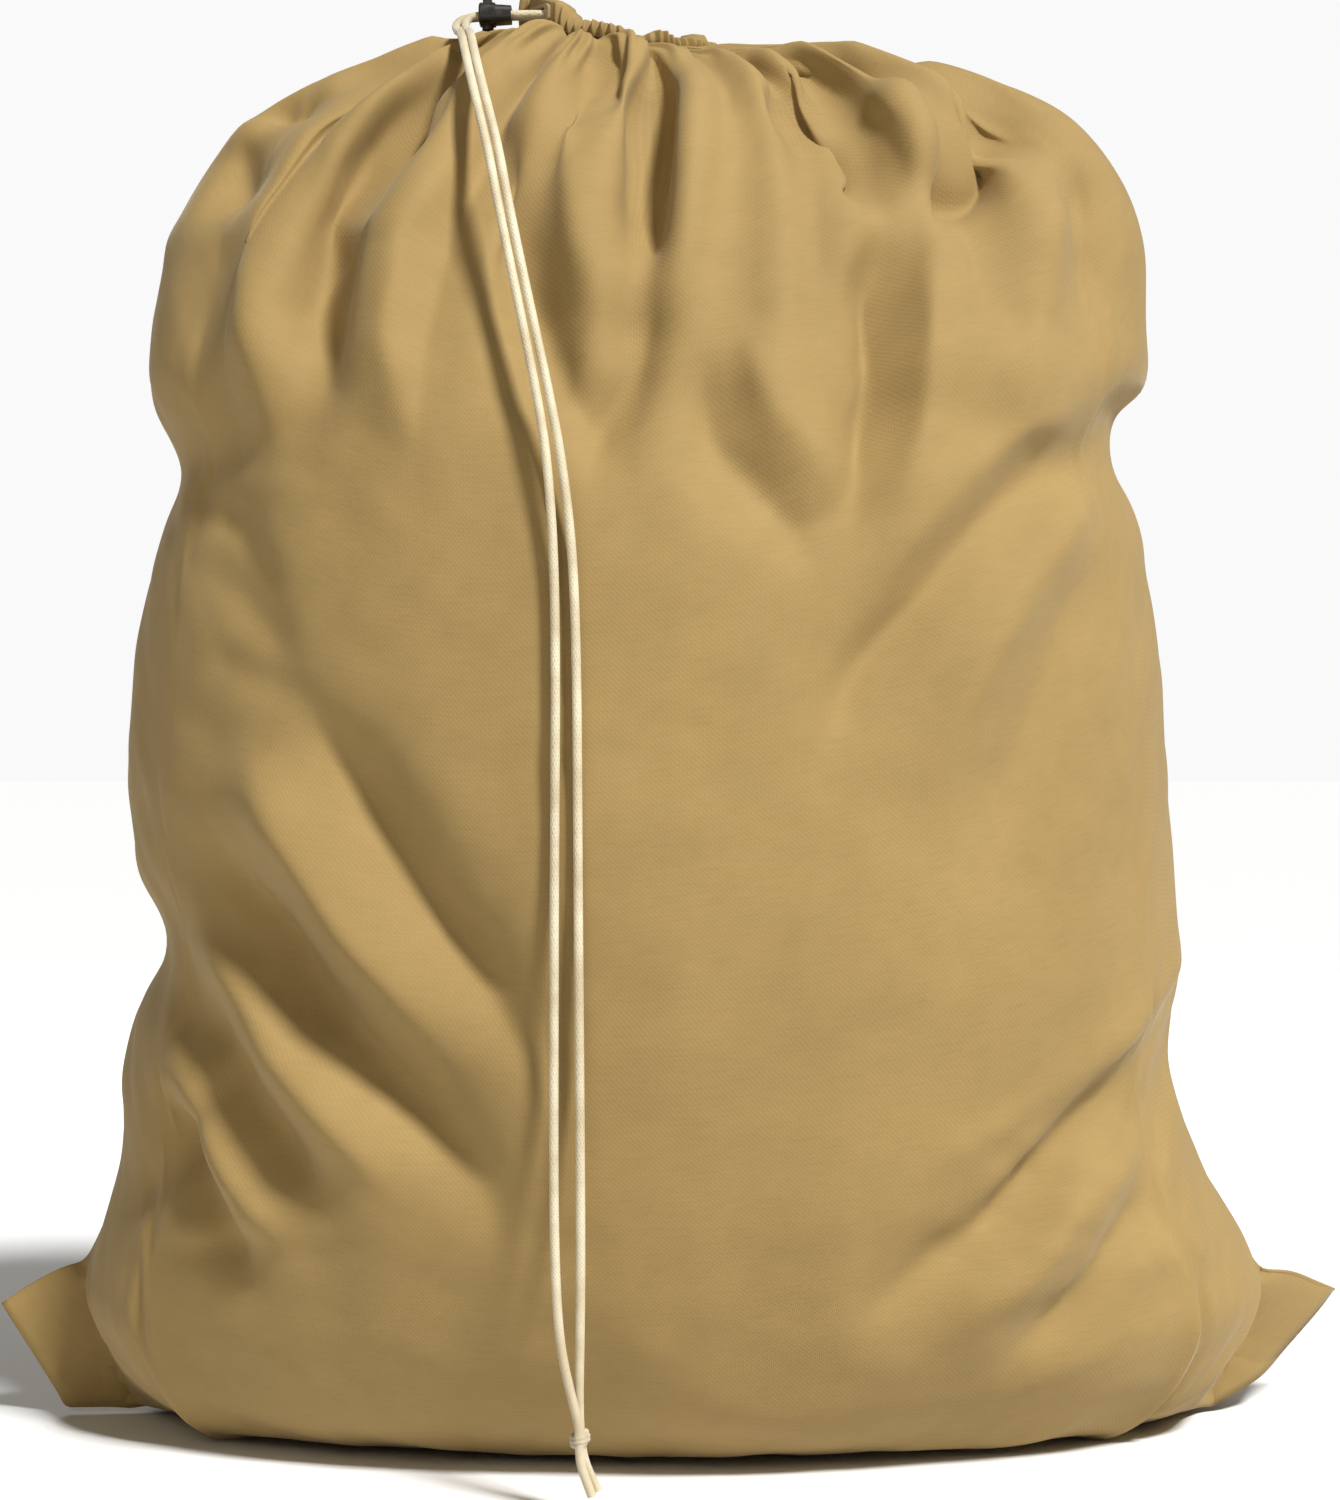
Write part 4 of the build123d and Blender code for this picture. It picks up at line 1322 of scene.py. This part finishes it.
def build_hem(material, thread):
    """The gathered hem in two halves, with the cord's opening, and its line of stitches."""
    for label, start, end in (("front", 0, math.pi), ("back", math.pi, 2 * math.pi)):
        turn = np.linspace(start, end, HEM_STEPS // 2 + 1)
        grid = hem_grid(turn)
        flat_turn = turn / (2 * math.pi) * 2 * FLAT_WIDTH
        flat_height = np.linspace(0, HEM_FLAT, grid.shape[1])
        flat = np.stack(np.broadcast_arrays(flat_turn[:, None], flat_height), -1)
        hem = grid_mesh(f"hem_{label}", grid, flat)
        if label == "front":
            cut_opening(hem.data)
        finish_piece(thickened(hem, CLOTH_THICKNESS), material, "canvas", f"{label}_hem")
    turn = np.linspace(0, 2 * math.pi, 6 * STITCHES + 1)
    line = hem_surface(turn, STITCH_LEVEL, outer=True)
    rows = []
    for stitch in range(STITCHES):
        middle = 6 * stitch + 3
        if abs(turn[middle] - OPENING_TURN) > STITCH_FREE_TURN:
            rows.append((line[middle - 2], line[middle + 2]))
    finish_piece(stitch_row("hem_stitches", rows), thread, "thread", "hem_stitching")


def cut_opening(mesh):
    """Remove the faces of the hem's outer wall where the drawcord comes out."""
    shape = bmesh.new()
    shape.from_mesh(mesh)
    cut = []
    for face in shape.faces:
        centre = np.array(face.calc_center_median()) - OPENING_CENTRE
        beside, above = abs(centre[1]), abs(centre[2])
        in_opening = beside < OPENING_HALF_WIDTH and above < OPENING_HALF_HEIGHT
        if in_opening and centre[0] < OPENING_REACH:
            cut.append(face)
    bmesh.ops.delete(shape, geom=cut, context="FACES")
    shape.to_mesh(mesh)
    shape.free()


def stitch_row(name, ends):
    """Short lengths of thread, each sunk into the cloth at its two ends."""
    sides = 8
    points, faces = [], []
    for start, end in ends:
        along = (end - start) / np.linalg.norm(end - start)
        across = np.cross(along, (0, 0, 1))
        across /= np.linalg.norm(across)
        up = np.cross(across, along)
        first = len(points)
        for share, width in STITCH_PROFILE:
            centre = start + (end - start) * share
            for side in range(sides):
                angle = 2 * math.pi * side / sides
                reach = STITCH_RADIUS * width
                points.append(centre + reach * (math.cos(angle) * across + math.sin(angle) * up))
        for ring in range(len(STITCH_PROFILE) - 1):
            for side in range(sides):
                low = first + ring * sides
                after = (side + 1) % sides
                faces.append((low + side, low + after, low + sides + after, low + sides + side))
        faces.append(tuple(first + side for side in range(sides))[::-1])
        faces.append(tuple(first + 4 * sides + side for side in range(sides)))
    mesh = bpy.data.meshes.new(name)
    mesh.from_pydata([tuple(point) for point in points], [], faces)
    mesh.shade_smooth()
    return add_object(name, mesh)


def build_loop(material):
    """The part of the drawcord that lies hidden in the hem's channel."""
    last = OPENING_TURN + 2 * math.pi - LOOP_GAPS[1]
    turn = np.linspace(OPENING_TURN + LOOP_GAPS[0], last, 40)
    points = [tuple(point) for point in at_mouth(turn, LOOP_RADIUS, LOOP_RISE)]
    loop = spline_curve("drawcord_in_hem", points, CORD_DIAMETER / 2)
    finish_piece(loop, material, "cord", "drawcord_loop")


# ---------------------------------------------------------------- the whole bag
def build_bag():
    """Everything that makes up the bag, round the CAD frame."""
    cord = cord_material("braided_cord")
    canvas = canvas_material("khaki_twill", KHAKI_DARK, KHAKI_LIGHT)
    thread = fibre_material("khaki_thread", THREAD_DARK, THREAD_LIGHT, 1800.0)
    knitted = fibre_material("washed_cotton", WASHED_DARK, WASHED_LIGHT, 300.0)
    plastic = plastic_material("moulded_plastic")
    strand_left, strand_right = build_cords(cord, build_spring(steel_material("spring_wire")))
    build_loop(cord)
    points = gather_folds(draped_cloth())
    points = settle(points)
    points = finer_cloth(points)
    columns, rows = points.shape[:2]
    width = 2 * FLAT_WIDTH * np.arange(columns) / columns
    flat = np.stack(np.broadcast_arrays(width[:, None], np.linspace(0, FLAT_HEIGHT, rows)), -1)
    settled = points
    points = pleated(creased(uneven(points, flat)))
    for strand in (strand_left, strand_right):
        path = centre_line(strand)
        on_cloth = (path[:, 2] < ON_CLOTH[1]) & (path[:, 2] > ON_CLOTH[0])
        points = cleared(points, path[on_cloth][::3], CORD_DIAMETER / 2 + CORD_GAP, CORD_REACH)
    points = below_lock(points)
    free = smooth_step(FLAT_HEIGHT - flat[..., 1], *HELD_EDGE)[..., None]
    points = settled + (points - settled) * free
    points[..., 2] = np.maximum(points[..., 2], FLOOR_GAP)
    build_panels(points, flat, canvas)
    build_seams(points, flat, canvas)
    build_hem(canvas, thread)
    build_laundry(knitted)
    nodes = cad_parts
    paint(nodes["buttonhole_binding"], thread)
    paint(nodes["cord_lock_body"], plastic)
    paint(nodes["cord_lock_plunger"], plastic)


build_stage()
build_bag()
